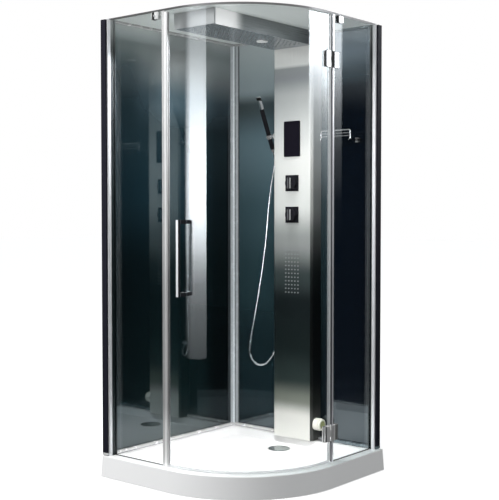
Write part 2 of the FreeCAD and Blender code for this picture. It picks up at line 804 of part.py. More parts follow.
def inner_plate(y0, y1, centre, screw_y):
    z0, z1 = centre - hinge_height / 2, centre + hinge_height / 2
    plate = box(glass_in - leaf_thickness, glass_in, y0, y1, z0, z1)
    plate = bevel(plate, leaf_chamfer, lambda edge: edge.CenterOfMass.x < glass_in - leaf_thickness + 0.01)
    for z in (centre - screw_spacing / 2, centre + screw_spacing / 2):
        plate = plate.cut(screw_hole(screw_y, z, screw_clearance))
    return plate


def hinge_screw(y, z):
    inside = glass_in - leaf_thickness
    stem = rod(screw_radius, V(inside, y, z), V(glass_out + 5, y, z))
    head = rod(screw_head_radius, V(inside - screw_head_height, y, z), V(inside, y, z))
    return stem.fuse(head)


# ================================================================ handle
def turn_to_handle(shape):
    turned = shape.copy()
    turned.rotate(V(arc_x, arc_y, 0), V(0, 0, 1), handle_angle)
    return turned


def handle_bolt_heights():
    return (handle_bottom_z + handle_depth / 2, handle_bottom_z + handle_length - handle_depth / 2)


def make_handle(outside):
    """A square-section pull: one bar and two standoffs, on the outer or the inner face."""
    side = handle_width / 2
    top = handle_bottom_z + handle_length
    if outside:
        face = arc_x + glass_radius_out
        reach = (face, face + handle_standoff)
        bar = (face + handle_standoff, face + handle_standoff + handle_depth)
    else:
        face = arc_x + glass_radius_in
        reach = (face - handle_standoff, face - handle_glass_gap)
        bar = (face - handle_standoff - handle_depth, face - handle_standoff)
    handle = box(bar[0], bar[1], arc_y - side, arc_y + side, handle_bottom_z, top)
    handle = bevel(handle, handle_edge_chamfer, upright)
    for z in (handle_bottom_z, top - handle_depth):
        handle = handle.fuse(box(reach[0], reach[1], arc_y - side, arc_y + side, z, z + handle_depth))
    for z in handle_bolt_heights():
        handle = handle.cut(handle_bolt(z, screw_clearance))
    return turn_to_handle(handle.removeSplitter())


def handle_bolt(z, clearance=0.0):
    return rod(handle_bolt_radius + clearance, V(arc_x + glass_radius_in - handle_bolt_depth, arc_y, z),
               V(arc_x + glass_radius_out + handle_bolt_depth, arc_y, z))


# ================================================================ roof
def make_roof_clamp(centre):
    """An angle under the roof behind the left fixed glass, and its plate on the outside."""
    x0, x1 = centre - clamp_width / 2, centre + clamp_width / 2
    z0 = roof_bottom_z - clamp_height
    angle = box(x0, x1, -glass_in, -glass_in + clamp_plate, z0, roof_bottom_z)
    angle = angle.fuse(box(x0, x1, -glass_in, -glass_in + clamp_ledge, roof_bottom_z - clamp_ledge_height,
                           roof_bottom_z)).removeSplitter()
    plate = box(x0, x1, -glass_out - clamp_plate, -glass_out, z0, roof_bottom_z)
    plate = bevel(plate, leaf_chamfer, lambda edge: edge.CenterOfMass.y < -glass_out - clamp_plate + 0.01)
    hole = clamp_screw(centre, screw_clearance)
    return angle.cut(hole), plate.cut(hole)


def clamp_screw_z():
    return roof_bottom_z - clamp_height / 2


def clamp_screw(centre, clearance=0.0):
    z = clamp_screw_z()
    return rod(screw_radius + clearance, V(centre, -glass_out - clamp_plate, z),
               V(centre, -glass_in + clamp_plate, z))


def clamp_screw_with_head(centre):
    z = clamp_screw_z()
    head = rod(screw_head_radius, V(centre, -glass_out - clamp_plate - screw_head_height, z),
               V(centre, -glass_out - clamp_plate, z))
    return clamp_screw(centre).fuse(head)


def drill_clamp(panel, centre):
    z = clamp_screw_z()
    return panel.cut(rod(glass_hole_radius, V(centre, -glass_out - 1, z), V(centre, -glass_in + 1, z)))


# ================================================================ column
def column_outline(z, gap):
    """Bevelled front outline; gap is how far it lies inside the outer face."""
    side = column_half_width - gap
    front = column_front_y + gap
    shoulder = column_front_y + column_edge + gap * (math.sqrt(2) - 1)
    inner_side = column_half_width - column_edge - gap * (math.sqrt(2) - 1)
    points = [V(-side, wall_glass_face, z), V(-side, shoulder, z), V(-inner_side, front, z),
              V(inner_side, front, z), V(side, shoulder, z), V(side, wall_glass_face, z)]
    return Part.Face(Part.makePolygon(points + points[:1]))


def jet_places():
    first_x = -jet_pitch * (jet_columns - 1) / 2
    return [(first_x + jet_pitch * column, jet_first_z + jet_pitch * row)
            for row in range(jet_rows) for column in range(jet_columns)]


def make_column_cover():
    height = box_bottom_z - column_bottom_z
    outer = column_outline(column_bottom_z, 0).extrude(V(0, 0, height))
    inner = column_outline(column_bottom_z, sheet).extrude(V(0, 0, height))
    floor = column_outline(column_bottom_z, 0).extrude(V(0, 0, sheet))
    cover = outer.cut(inner).fuse(floor)
    cover = cover.cut(box(-half, half, frame_face, half, 0, base_rail_top_z))
    for x, z in jet_places():
        cover = cover.cut(rod(jet_radius + jet_hole_clearance, V(x, column_front_y - 1, z),
                              V(x, column_inner_y + 1, z)))
    for z in (mixer_z, diverter_z):
        cover = cover.cut(rod(spindle_radius + screw_clearance, V(0, column_front_y - 1, z),
                              V(0, column_inner_y + 1, z)))
    cover = cover.cut(rod(steam_bore_radius, V(column_half_width - 5, steam_outlet_y, steam_outlet_z),
                          V(column_half_width + 5, steam_outlet_y, steam_outlet_z)))
    cover = cover.cut(rod(pipe_radius, V(-column_half_width - 5, outlet_y, outlet_z),
                          V(-column_half_width + 5, outlet_y, outlet_z)))
    return cover.removeSplitter()


def make_back_plate():
    side = column_half_width - sheet
    plate = box(-side, side, wall_glass_face - back_plate_thickness, wall_glass_face,
                back_plate_bottom_z, box_bottom_z - back_plate_end_gap)
    return drill_inlets(plate)


def make_touch_screen():
    side = screen_width / 2
    screen = box(-side, side, column_front_y - screen_thickness, column_front_y,
                 screen_bottom_z, screen_bottom_z + screen_height)
    corners = [edge for edge in screen.Edges if abs(edge.tangentAt(edge.FirstParameter).y) > 0.9]
    screen = screen.makeFillet(screen_corner, corners)
    return bevel(screen, 1.0, lambda edge: edge.CenterOfMass.y < column_front_y - screen_thickness + 0.01)


def make_control_box():
    side = control_box_width / 2
    z0 = screen_bottom_z + (screen_height - control_box_height) / 2
    return box(-side, side, column_inner_y, column_inner_y + control_box_depth, z0, z0 + control_box_height)


def make_knob_plate(z):
    side = knob_plate_side / 2
    plate = box(-side, side, knob_plate_y, column_front_y, z - side, z + side)
    plate = bevel(plate, 1.5, lambda edge: edge.CenterOfMass.y < knob_plate_y + 0.01)
    return plate.cut(rod(spindle_radius + screw_clearance, V(0, knob_plate_y - 1, z), V(0, column_front_y + 1, z)))


def make_knob(z):
    knob = rod(knob_radius, V(0, knob_front_y, z), V(0, knob_back_y, z))
    knob = bevel(knob, 2.0, lambda edge: edge.CenterOfMass.y < knob_front_y + 0.01)
    return knob.cut(rod(spindle_radius, V(0, knob_front_y - 1, z), V(0, knob_back_y + 1, z)))


def make_lever(z):
    """The bar on the knob and the valve spindle that it turns."""
    side, reach = lever_width / 2, lever_length / 2
    bar = box(-side, side, knob_front_y - lever_depth, knob_front_y, z - reach, z + reach)
    bar = bevel(bar, 1.5, lambda edge: edge.CenterOfMass.y < knob_front_y - lever_depth + 0.01)
    spindle = rod(spindle_radius, V(0, knob_front_y, z), V(0, valve_front_y + spindle_length, z))
    return bar.fuse(spindle).removeSplitter()


def make_valve(z):
    side = valve_half_width
    body = box(-side, side, valve_front_y, valve_front_y + valve_depth, z - side, z + side)
    body = body.fuse(rod(valve_nose_radius, V(0, column_inner_y, z), V(0, valve_front_y, z)))
    return body.cut(rod(spindle_radius + spindle_clearance, V(0, column_inner_y - 1, z),
                        V(0, valve_front_y + spindle_length, z))).removeSplitter()


def make_body_jets():
    return [rod(jet_radius, V(x, column_front_y - jet_length, z), V(x, column_inner_y, z))
            for x, z in jet_places()]


def make_jet_manifold():
    side = jet_pitch * (jet_columns - 1) / 2 + manifold_margin
    z1 = jet_first_z + jet_pitch * (jet_rows - 1) + manifold_margin
    return box(-side, side, column_inner_y, column_inner_y + manifold_depth, jet_first_z - manifold_margin, z1)


def make_water_pipes():
    y = pipe_plane_y
    valve_side = valve_half_width
    box_side_y = water_box_back_y()
    box_z = box_floor_top_z + water_box_height / 2
    manifold_top = jet_first_z + jet_pitch * (jet_rows - 1) + manifold_margin
    manifold_y = column_inner_y + manifold_depth / 2
    link = rod(pipe_radius, V(0, y, diverter_z + valve_side), V(0, y, mixer_z - valve_side))
    jets_feed = rod(pipe_radius, V(0, manifold_y + pipe_radius / 2, manifold_top),
                    V(0, manifold_y + pipe_radius / 2, diverter_z - valve_side))
    riser = bent_pipe([V(valve_side, y, diverter_z), V(riser_x, y, diverter_z), V(riser_x, y, box_z),
                       V(riser_x, box_side_y, box_z)], pipe_radius, pipe_bend)
    hose_feed = bent_pipe([V(-valve_side, y, diverter_z), V(-riser_x, y, diverter_z), V(-riser_x, y, outlet_z),
                           V(-column_half_width + sheet, y, outlet_z)], pipe_radius, pipe_bend)
    return [link, jets_feed, riser, hose_feed]


def make_water_inlet(side_sign):
    """A threaded stub through the wall, its pipe turning in to the mixing valve."""
    x = side_sign * feed_x
    bend = pipe_bend / 2
    pipe = bent_pipe([V(x, wall_glass_face, mixer_z), V(x, pipe_plane_y, mixer_z),
                      V(side_sign * valve_half_width, pipe_plane_y, mixer_z)], pipe_radius, bend)
    stub = rod(inlet_radius, V(x, wall_glass_face, mixer_z), V(x, wall_glass_face + inlet_length, mixer_z))
    bore = rod(pipe_radius - sheet, V(x, wall_glass_face + 1, mixer_z),
               V(x, wall_glass_face + inlet_length + 1, mixer_z))
    return pipe.fuse(stub).cut(bore).removeSplitter()


# ================================================================ overhead box
def water_box_back_y():
    return nozzle_first_y + nozzle_pitch * (nozzle_rows - 1) + water_box_margin


def nozzle_places():
    first_x = -nozzle_pitch * (nozzle_columns - 1) / 2
    places = []
    for row in range(nozzle_rows):
        for column in range(nozzle_columns):
            x, y = first_x + nozzle_pitch * column, nozzle_first_y + nozzle_pitch * row
            if math.hypot(x, y - light_y) > light_radius + nozzle_pitch / 2:
                places.append((x, y))
    return places


def make_housing():
    outer = box(-box_half_width, box_half_width, box_front_y, frame_face, box_bottom_z, roof_bottom_z)
    inner = box(-box_half_width + sheet, box_half_width - sheet, box_front_y + sheet, frame_face - sheet,
                box_floor_top_z, roof_bottom_z - sheet)
    window = rain_window(box_bottom_z - 1, box_floor_top_z + 1)
    reach = pipe_radius + inlet_hole_clearance
    riser_hole = box(riser_x - reach, riser_x + reach, pipe_plane_y - pipe_bend, pipe_plane_y + reach,
                     box_bottom_z - 1, box_floor_top_z + 1)
    top_rail_room = box(-half, half, frame_face - 1, half, top_rail_z, roof_top_z)
    return outer.cut(inner).cut(window).cut(riser_hole).cut(top_rail_room)


def rain_window(z0, z1):
    side = box_half_width - rain_plate_margin
    return box(-side, side, box_front_y + rain_plate_margin, rain_plate_back_y, z0, z1)


def make_rain_plate():
    plate = rain_window(box_bottom_z, box_floor_top_z)
    for x, y in nozzle_places():
        plate = plate.cut(rod(nozzle_radius, V(x, y, box_bottom_z - 1), V(x, y, box_floor_top_z + 1)))
    return plate.cut(rod(light_body_radius, V(0, light_y, box_bottom_z - 1), V(0, light_y, box_floor_top_z + 1)))


def make_rain_nozzles():
    return [rod(nozzle_radius, V(x, y, box_bottom_z - nozzle_length), V(x, y, box_floor_top_z))
            for x, y in nozzle_places()]


def make_water_box():
    side = nozzle_pitch * (nozzle_columns - 1) / 2 + water_box_margin
    body = box(-side, side, nozzle_first_y - water_box_margin, water_box_back_y(),
               box_floor_top_z, box_floor_top_z + water_box_height)
    return body.cut(rod(light_body_radius + light_clearance, V(0, light_y, box_floor_top_z - 1),
                        V(0, light_y, box_floor_top_z + water_box_height + 1)))


def make_overhead_light():
    bezel = rod(light_radius, V(0, light_y, box_bottom_z - light_depth), V(0, light_y, box_bottom_z))
    bezel = bevel(bezel, 2.0, lambda edge: edge.CenterOfMass.z < box_bottom_z - light_depth + 0.01)
    body = rod(light_body_radius, V(0, light_y, box_bottom_z), V(0, light_y, box_bottom_z + light_body_height))
    return bezel.fuse(body).removeSplitter()


# ================================================================ steam
def make_steam_generator():
    body = box(-generator_half_width, generator_half_width, generator_front_y, generator_back_y,
               generator_bottom_z, generator_bottom_z + generator_height)
    return bevel(body, 4.0, upright)


def make_steam_pipe():
    return bent_pipe([V(steam_pipe_x, steam_outlet_y, generator_bottom_z),
                      V(steam_pipe_x, steam_outlet_y, steam_outlet_z),
                      V(column_half_width - sheet, steam_outlet_y, steam_outlet_z)], pipe_radius, pipe_bend)


def along_outlet(radius, start, length):
    x = column_half_width + start
    return rod(radius, V(x, steam_outlet_y, steam_outlet_z), V(x + length, steam_outlet_y, steam_outlet_z))


def make_steam_outlet():
    body = along_outlet(steam_outlet_radius, 0, steam_outlet_length)
    body = body.makeFillet(3.0, [edge for edge in body.Edges if len(edge.Vertexes) == 1
                                 and edge.CenterOfMass.x > column_half_width + 1])
    pocket = along_outlet(aroma_plug_radius + aroma_clearance, steam_outlet_length - aroma_plug_length,
                          aroma_plug_length + 1)
    bore = along_outlet(steam_bore_radius, -1, steam_outlet_length)
    mouth = rod(steam_bore_radius, V(column_half_width + steam_outlet_length / 2, steam_outlet_y,
                                     steam_outlet_z - steam_outlet_radius - 1),
                V(column_half_width + steam_outlet_length / 2, steam_outlet_y, steam_outlet_z))
    return body.cut(pocket).cut(bore).cut(mouth)


def make_aroma_cap():
    cap = along_outlet(aroma_cap_radius, steam_outlet_length + aroma_clearance, aroma_cap_length)
    cap = cap.makeFillet(4.0, [edge for edge in cap.Edges if len(edge.Vertexes) == 1
                               and edge.CenterOfMass.x > column_half_width + steam_outlet_length + 3])
    plug_start = steam_outlet_length - aroma_plug_length + aroma_clearance
    return cap.fuse(along_outlet(aroma_plug_radius, plug_start, aroma_plug_length)).removeSplitter()


# ================================================================ hand shower
def handset_point(distance):
    return handset_top.add(handset_down * distance)


def make_handset_head():
    head = rod(head_radius, handset_point(0), handset_point(head_length))
    top_edge = [edge for edge in head.Edges if len(edge.Vertexes) == 1
                and edge.CenterOfMass.sub(handset_top).Length < 1]
    head = head.makeFillet(2.0, top_edge)
    forward = V(0, handset_down.z, -handset_down.y)
    flat = Part.makeBox(2 * head_radius, 2 * head_radius, head_length - 2 * head_radius)
    flat.translate(V(-head_radius, 0, 0))
    flat.Placement = FreeCAD.Placement(V(0, 0, 0), FreeCAD.Rotation(V(1, 0, 0), forward, handset_down * -1, "XYZ")
                                       ).multiply(flat.Placement)
    base = handset_point(head_length - head_radius).add(forward * (head_radius - spray_face_depth))
    flat.translate(base)
    return head.cut(flat)


def make_handset_grip():
    return rod(grip_radius, handset_point(head_length), handset_point(grip_end))


def make_hose_nut():
    nut = rod(nut_radius, handset_point(grip_end), handset_point(grip_end + nut_length))
    return nut.makeChamfer(1.5, [edge for edge in nut.Edges if len(edge.Vertexes) == 1
                                 and edge.CenterOfMass.sub(handset_point(grip_end + nut_length)).Length < 1])


def collar_radius():
    return grip_radius + collar_clearance + collar_wall


def make_holder_stub():
    centre = handset_point(collar_at)
    start = V(-column_half_width, centre.y, centre.z)
    flange = rod(stub_flange_radius, start, start.sub(V(stub_flange_thickness, 0, 0)))
    end = V(handset_x + collar_radius() + holder_gap + collar_wall, centre.y, centre.z)
    pin = rod(holder_pin_radius, end, end.sub(V(holder_pin_length, 0, 0)))
    return flange.fuse(rod(stub_radius, start, end)).fuse(pin).removeSplitter()


def make_holder_collar():
    low = handset_point(collar_at + collar_length / 2)
    high = handset_point(collar_at - collar_length / 2)
    centre = handset_point(collar_at)
    boss_end = V(handset_x + collar_radius() + collar_wall, centre.y, centre.z)
    collar = rod(collar_radius(), low, high).fuse(rod(stub_radius, centre, boss_end))
    pin_hole = rod(holder_pin_radius + pin_clearance, boss_end, boss_end.sub(V(holder_pin_length + 0.5, 0, 0)))
    return collar.cut(pin_hole).cut(rod(grip_radius + collar_clearance, low.add(handset_down * 5),
                                        high.sub(handset_down * 5))).removeSplitter()


def outlet_centre():
    return V(-column_half_width - outlet_reach, outlet_y, outlet_z)


def outlet_heading():
    return hose_points[-1].sub(outlet_centre()).normalize()


def make_hose_outlet():
    centre = outlet_centre()
    wall = V(-column_half_width, outlet_y, outlet_z)
    body = rod(outlet_flange_radius, wall, wall.sub(V(3, 0, 0)))
    body = body.fuse(rod(outlet_nipple_radius, wall, centre))
    body = body.fuse(Part.makeSphere(outlet_ball_radius, centre))
    tip = centre.add(outlet_heading() * outlet_nipple_length)
    return body.fuse(rod(outlet_nipple_radius, centre, tip)).removeSplitter()


def make_hose():
    start = handset_point(grip_end + nut_length + hose_start_gap)
    end = outlet_centre().add(outlet_heading() * outlet_nipple_length)
    below = handset_point(grip_end + nut_length + hose_first_run)
    points = [start, below] + hose_points + [end]
    runs = [second.sub(first).Length for first, second in zip(points, points[1:])]
    bends = []
    for index in range(1, len(points) - 1):
        back = points[index - 1].sub(points[index])
        ahead = points[index + 1].sub(points[index])
        turn = math.pi - back.getAngle(ahead)
        bends.append(0.45 * min(runs[index - 1], runs[index]) / math.tan(turn / 2))
    path = bent_path(points, bends)
    hose = pipe_along(path, hose_radius)
    expected = math.pi * hose_radius ** 2 * path.Length
    print("hose runs", [round(run) for run in runs])
    print("hose radii", [round(bend) for bend in bends])
    print("hose length", round(path.Length, 1), "volume over section times length",
          round(hose.Volume / expected, 5))
    return hose


# ================================================================ shelf
def make_shelf_glass():
    glass = box(shelf_left_x, shelf_right_x, shelf_front_y, wall_glass_face, shelf_bottom_z,
                shelf_bottom_z + shelf_thickness)
    front = [edge for edge in glass.Edges if upright(edge) and edge.CenterOfMass.y < shelf_front_y + 1]
    return glass.makeFillet(shelf_corner, front)


def make_shelf_rail():
    top = shelf_bottom_z + shelf_thickness
    y = shelf_front_y + rail_post_inset
    left, right = shelf_left_x + rail_post_inset, shelf_right_x - rail_post_inset
    frame = bent_pipe([V(left, y, top), V(left, y, top + rail_height), V(right, y, top + rail_height),
                       V(right, y, top)], rail_wire_radius, rail_bend)
    for x in (left, right):
        frame = frame.fuse(rod(rail_ball_radius, V(x, y, top), V(x, y, top + rail_ball_radius)))
    for step in thin_wire_steps:
        frame = frame.fuse(rod(thin_wire_radius, V(left, y, top + step), V(right, y, top + step)))
    return frame.removeSplitter()


def make_shelf_brackets():
    brackets = []
    for x in (shelf_left_x + bracket_inset, shelf_right_x - bracket_inset):
        side, tall = bracket_width / 2, bracket_height / 2
        middle = shelf_bottom_z + shelf_thickness / 2
        bracket = box(x - side, x + side, wall_glass_face - bracket_reach, wall_glass_face,
                      middle - tall, middle + tall)
        bracket = bevel(bracket, 2.0, lambda edge: edge.CenterOfMass.y < wall_glass_face - bracket_reach + 0.01)
        brackets.append(bracket.cut(make_shelf_glass()))
    return brackets


# ================================================================ build
save("tray_shell", make_tray_shell())
save("tray_rails", make_tray_rails())
save("levelling_feet", make_levelling_feet())
save("drain_body", make_drain_body())
save("drain_cover", make_drain_cover())

left_wall = wall_set(left_wall_end_inset)
right_wall = {name: to_right(shape) for name, shape in wall_set(right_wall_end_inset).items()}
save("left_wall_glass", left_wall["glass"])
save("right_wall_glass", drill_inlets(right_wall["glass"]))
save("end_posts", [left_wall["post"], right_wall["post"]])
save("wall_channels", [left_wall["channel"], right_wall["channel"]])
save("wall_rails", [left_wall["rail"], right_wall["rail"], left_wall["top"], right_wall["top"]])
save("corner_post", make_corner_post())
panel_seals = [box(-channel_x + channel_width, closing_strip_x - closing_strip_width, -glass_out, -glass_in,
                   tray_rim_z, base_rail_z),
               to_right(box(-channel_x + channel_width, -right_strip_y - right_strip_width, -glass_out,
                            -glass_in, tray_rim_z, base_rail_z))]
save("tray_seals", [left_wall["seal"], right_wall["seal"]] + panel_seals)

save("roof_panel", plan_block(roof_bottom_z, roof_top_z, front_glass_inset, wall_face_inset))
left_angle, left_plate = make_roof_clamp(left_clamp_x)
right_angle, right_plate = [to_right(shape) for shape in make_roof_clamp(-right_clamp_y)]
save("roof_clamps", [left_angle, left_plate, right_angle, right_plate])

left_edge = -closing_strip_x + closing_strip_width - slot_depth
right_edge = right_strip_y + right_strip_width - right_strip_slot
left_panel = drill_clamp(make_fixed_glass(left_edge, left_wall_end_inset), left_clamp_x)
right_panel = to_right(drill_clamp(make_fixed_glass(right_edge, right_wall_end_inset), -right_clamp_y))
for hole_z in screw_heights():
    right_panel = right_panel.cut(rod(glass_hole_radius, V(glass_in - 5, fixed_screw_y(), hole_z),
                                      V(glass_out + 5, fixed_screw_y(), hole_z)))
save("left_fixed_glass", left_panel)
save("right_fixed_glass", right_panel)
closing_strip = make_glass_strip(closing_strip_x, closing_strip_width, strip_thickness, slot_depth)
right_strip = hinge_room(to_right(make_glass_strip(-right_strip_y, right_strip_width, right_strip_thickness,
                                                   right_strip_slot)))
save("glass_edge_strips", [closing_strip, right_strip])

save("door_glass", make_door_glass())
save("door_magnet_strip", make_magnet_strip())
save("door_hinge_seal", make_hinge_seal())
save("door_bottom_seal", make_bottom_seal())
save("door_handle_outside", make_handle(True))
save("door_handle_inside", make_handle(False))

hinges = [make_hinge(centre) for centre in (lower_hinge_z, upper_hinge_z)]
door_inner = [inner_plate(door_leaf_end_y - door_leaf_width, door_leaf_end_y, centre, door_screw_y())
              for centre in (lower_hinge_z, upper_hinge_z)]
fixed_inner = [inner_plate(fixed_leaf_start_y, fixed_leaf_start_y + fixed_leaf_width, centre, fixed_screw_y())
               for centre in (lower_hinge_z, upper_hinge_z)]
save("door_hinge_leaves", [hinge[0] for hinge in hinges] + door_inner)
save("fixed_hinge_leaves", [hinge[1] for hinge in hinges] + fixed_inner)
save("hinge_pins", [hinge[2] for hinge in hinges])
save("door_screws", [hinge_screw(door_screw_y(), z) for z in screw_heights()]
     + [turn_to_handle(handle_bolt(z)) for z in handle_bolt_heights()])
save("fixed_screws", [hinge_screw(fixed_screw_y(), z) for z in screw_heights()]
     + [clamp_screw_with_head(left_clamp_x), to_right(clamp_screw_with_head(-right_clamp_y))])

save("column_cover", make_column_cover())
save("column_back_plate", make_back_plate())
save("touch_screen", make_touch_screen())
save("control_box", make_control_box())
save("knob_plates", [make_knob_plate(mixer_z), make_knob_plate(diverter_z)])
save("mixer_knob", make_knob(mixer_z))
save("mixer_lever", make_lever(mixer_z))
save("diverter_knob", make_knob(diverter_z))
save("diverter_lever", make_lever(diverter_z))
save("valve_bodies", [make_valve(mixer_z), make_valve(diverter_z)])
save("body_jets", make_body_jets())
save("jet_manifold", make_jet_manifold())
save("pipework", make_water_pipes() + [make_steam_pipe()])
save("water_inlets", [make_water_inlet(-1), make_water_inlet(1)])

save("overhead_housing", make_housing())
save("rain_plate", make_rain_plate())
save("rain_nozzles", make_rain_nozzles())
save("rain_water_box", make_water_box())
save("overhead_light", make_overhead_light())

save("steam_generator", make_steam_generator())
save("steam_outlet", make_steam_outlet())
save("aroma_cap", make_aroma_cap())

save("handset_head", make_handset_head())
save("handset_grip", make_handset_grip())
save("hose_nut", make_hose_nut())
save("holder_stub", make_holder_stub())
save("holder_collar", make_holder_collar())
save("hose_outlet", make_hose_outlet())
save("shower_hose", make_hose())

save("shelf_glass", make_shelf_glass())
save("shelf_rail", make_shelf_rail())
save("shelf_brackets", make_shelf_brackets())
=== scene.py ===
"""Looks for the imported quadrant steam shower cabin. Metres, in the row's frame."""

import json
import math

import bmesh
import bpy
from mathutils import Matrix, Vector


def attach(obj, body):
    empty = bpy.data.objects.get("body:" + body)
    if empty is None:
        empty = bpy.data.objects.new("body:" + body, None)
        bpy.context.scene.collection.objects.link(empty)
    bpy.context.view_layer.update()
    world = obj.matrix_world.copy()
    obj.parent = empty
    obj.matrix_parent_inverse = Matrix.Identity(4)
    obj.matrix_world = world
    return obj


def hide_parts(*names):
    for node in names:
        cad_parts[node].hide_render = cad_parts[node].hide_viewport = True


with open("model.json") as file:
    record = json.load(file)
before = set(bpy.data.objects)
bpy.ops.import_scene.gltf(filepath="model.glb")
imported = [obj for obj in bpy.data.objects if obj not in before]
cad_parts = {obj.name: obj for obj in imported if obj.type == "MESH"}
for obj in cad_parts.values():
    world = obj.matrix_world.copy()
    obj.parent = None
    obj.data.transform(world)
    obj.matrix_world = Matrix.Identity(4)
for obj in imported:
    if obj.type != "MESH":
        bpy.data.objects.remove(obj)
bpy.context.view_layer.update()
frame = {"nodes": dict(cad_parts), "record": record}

# Places on the cabin that the tones of its materials follow, in metres from low to high.
CABIN_HEIGHT = 2.24
TRAY_SHADE_X = (0.12, 0.55)        # the tray's painted shade grows from here to here
LEFT_WALL_Y = (-0.47, 0.44)        # from the left wall's end post to the corner post
WALLS_MEET_Y = (0.462, 0.468)      # the left wall's glass ends and the back wall's begins
BEHIND_COLUMN_X = (0.1, 0.2)       # the back wall's painted reflection changes behind the column
BOX_Y = (-0.366, 0.45)             # from the shower box's front end to the wall
LEFT_OR_RIGHT_X = (0.0, 0.1)       # tells fittings of the left half from those of the right half
LEFT_CLAMP_X = (-0.188, -0.142)
RIGHT_CLAMP_Y = (0.149, 0.195)
HINGE_Y = (0.05, 0.157)            # from the door leaf's free edge to the fixed leaf's
AROMA_CAP_CENTRE = (0.17, 0.43, 0.195)
AROMA_DISC_RADIUS = (0.018, 0.021)
HANDSET_HEAD_Z = (1.837, 1.907)
SPRAY_FACE_Z = (1.882, 1.884)      # the spray face begins here
LEVER_BAND_Y = (0.3605, 0.3615)    # the chrome band lies between here and the knob
CHANNEL_LIP_Y = (-0.47, -0.466)    # the left channel's nose ends and its lip begins
RIGHT_CHANNEL_X = (0.452, 0.456)
CLOSING_STRIP_X = (-0.121, -0.086)
TOP_RAIL_Z = (2.2, 2.23)
RIGHT_RAIL_X = (0.13, 0.16)        # past here the rails lie in the shade of the fixed glass
CORNER_STRIPES = (-0.03, 0.045)    # X plus Y across the corner post


# ---------------------------------------------------------------- node helpers
def new_material(name):
    made = bpy.data.materials.new(name)
    made.use_nodes = True
    return made, made.node_tree.nodes["Principled BSDF"]


def put(node, **values):
    """Set a shader's sockets by their names, with spaces written as underscores."""
    for key, value in values.items():
        node.inputs[key.replace("_", " ")].default_value = value


def add(material, kind, **values):
    node = material.node_tree.nodes.new(kind)
    for key, value in values.items():
        setattr(node, key, value)
    return node


def link(material, source, target):
    material.node_tree.links.new(source, target)


def place(material):
    """Object coordinates, which are the row's metres."""
    return add(material, "ShaderNodeTexCoord").outputs["Object"]


def noise(material, scale, detail=4.0, stretch=(1, 1, 1)):
    mapping = add(material, "ShaderNodeMapping")
    put(mapping, Scale=stretch)
    link(material, place(material), mapping.inputs["Vector"])
    texture = add(material, "ShaderNodeTexNoise")
    put(texture, Scale=scale, Detail=detail, Roughness=0.55)
    link(material, mapping.outputs["Vector"], texture.inputs["Vector"])
    return texture.outputs["Fac"]


def die_lines(material):
    """The fine lines that the die leaves along an upright aluminium profile."""
    return noise(material, 260.0, 2.0, (1, 1, 0.004))


def between(material, factor, low, high, start=0.3, stop=0.7):
    """Map a factor from start..stop to low..high; the first default range suits a noise."""
    node = add(material, "ShaderNodeMapRange")
    put(node, From_Min=start, From_Max=stop, To_Min=low, To_Max=high)
    link(material, factor, node.inputs["Value"])
    return node.outputs["Result"]


def ramp(material, factor, stops, smooth=True):
    """Map a factor to colours given as (position, (r, g, b))."""
    node = add(material, "ShaderNodeValToRGB")
    node.color_ramp.interpolation = "EASE" if smooth else "LINEAR"
    elements = node.color_ramp.elements
    while len(elements) < len(stops):
        elements.new(0.5)
    for element, (position, colour) in zip(elements, stops):
        element.position = position
        element.color = (*colour, 1)
    link(material, factor, node.inputs["Fac"])
    return node.outputs["Color"]


def grey(*stops):
    """Ramp stops given as (position, brightness)."""
    return [(position, (value, value, value)) for position, value in stops]


def mixed(material, factor, first, second, blend="MIX"):
    node = add(material, "ShaderNodeMix", data_type="RGBA", blend_type=blend)
    for name, value in (("Factor", factor), ("A", first), ("B", second)):
        socket = node.inputs[name]
        if isinstance(value, (int, float)):
            socket.default_value = value
        elif isinstance(value, tuple):
            socket.default_value = (*value, 1)
        else:
            link(material, value, socket)
    return node.outputs["Result"]


def times(material, first, second):
    """One colour multiplied by another."""
    return mixed(material, 1.0, first, second, "MULTIPLY")


def product(material, first, second):
    """One number multiplied by another."""
    node = add(material, "ShaderNodeMath", operation="MULTIPLY")
    link(material, first, node.inputs[0])
    link(material, second, node.inputs[1])
    return node.outputs["Value"]


def streaked(material, tone, texture, low, high):
    """A tone made a little darker and lighter by a noise."""
    return times(material, tone, ramp(material, texture, grey((0.3, low), (0.7, high))))


def axis_of(material, axis):
    split = add(material, "ShaderNodeSeparateXYZ")
    link(material, place(material), split.inputs["Vector"])
    return split.outputs[axis]


def along(material, axis, low, high):
    """How far a point is along an axis, 0 at low and 1 at high."""
    return between(material, axis_of(material, axis), 0.0, 1.0, low, high)


def short_of(material, axis, low, high):
    """The reverse of along: 1 at low and 0 at high."""
    return between(material, axis_of(material, axis), 1.0, 0.0, low, high)


def upward(material):
    """How high a point is, 0 at the floor and 1 at the roof."""
    return along(material, "Z", 0.0, CABIN_HEIGHT)


def facing(material, axis, low=0.4, high=0.6, either_way=True):
    """How squarely a face looks along an axis, 0 to 1.

    With either_way the axis's negative end counts like its positive end.
    """
    split = add(material, "ShaderNodeSeparateXYZ")
    normal = add(material, "ShaderNodeNewGeometry").outputs["Normal"]
    link(material, normal, split.inputs["Vector"])
    share = split.outputs[axis]
    if either_way:
        size = add(material, "ShaderNodeMath", operation="ABSOLUTE")
        link(material, share, size.inputs[0])
        share = size.outputs["Value"]
    return between(material, share, 0.0, 1.0, low, high)


def paint(material, shader, colour):
    link(material, colour, shader.inputs["Base Color"])


def roughen(material, shader, texture, low, high):
    """Let a noise carry the roughness between two values."""
    link(material, between(material, texture, low, high), shader.inputs["Roughness"])


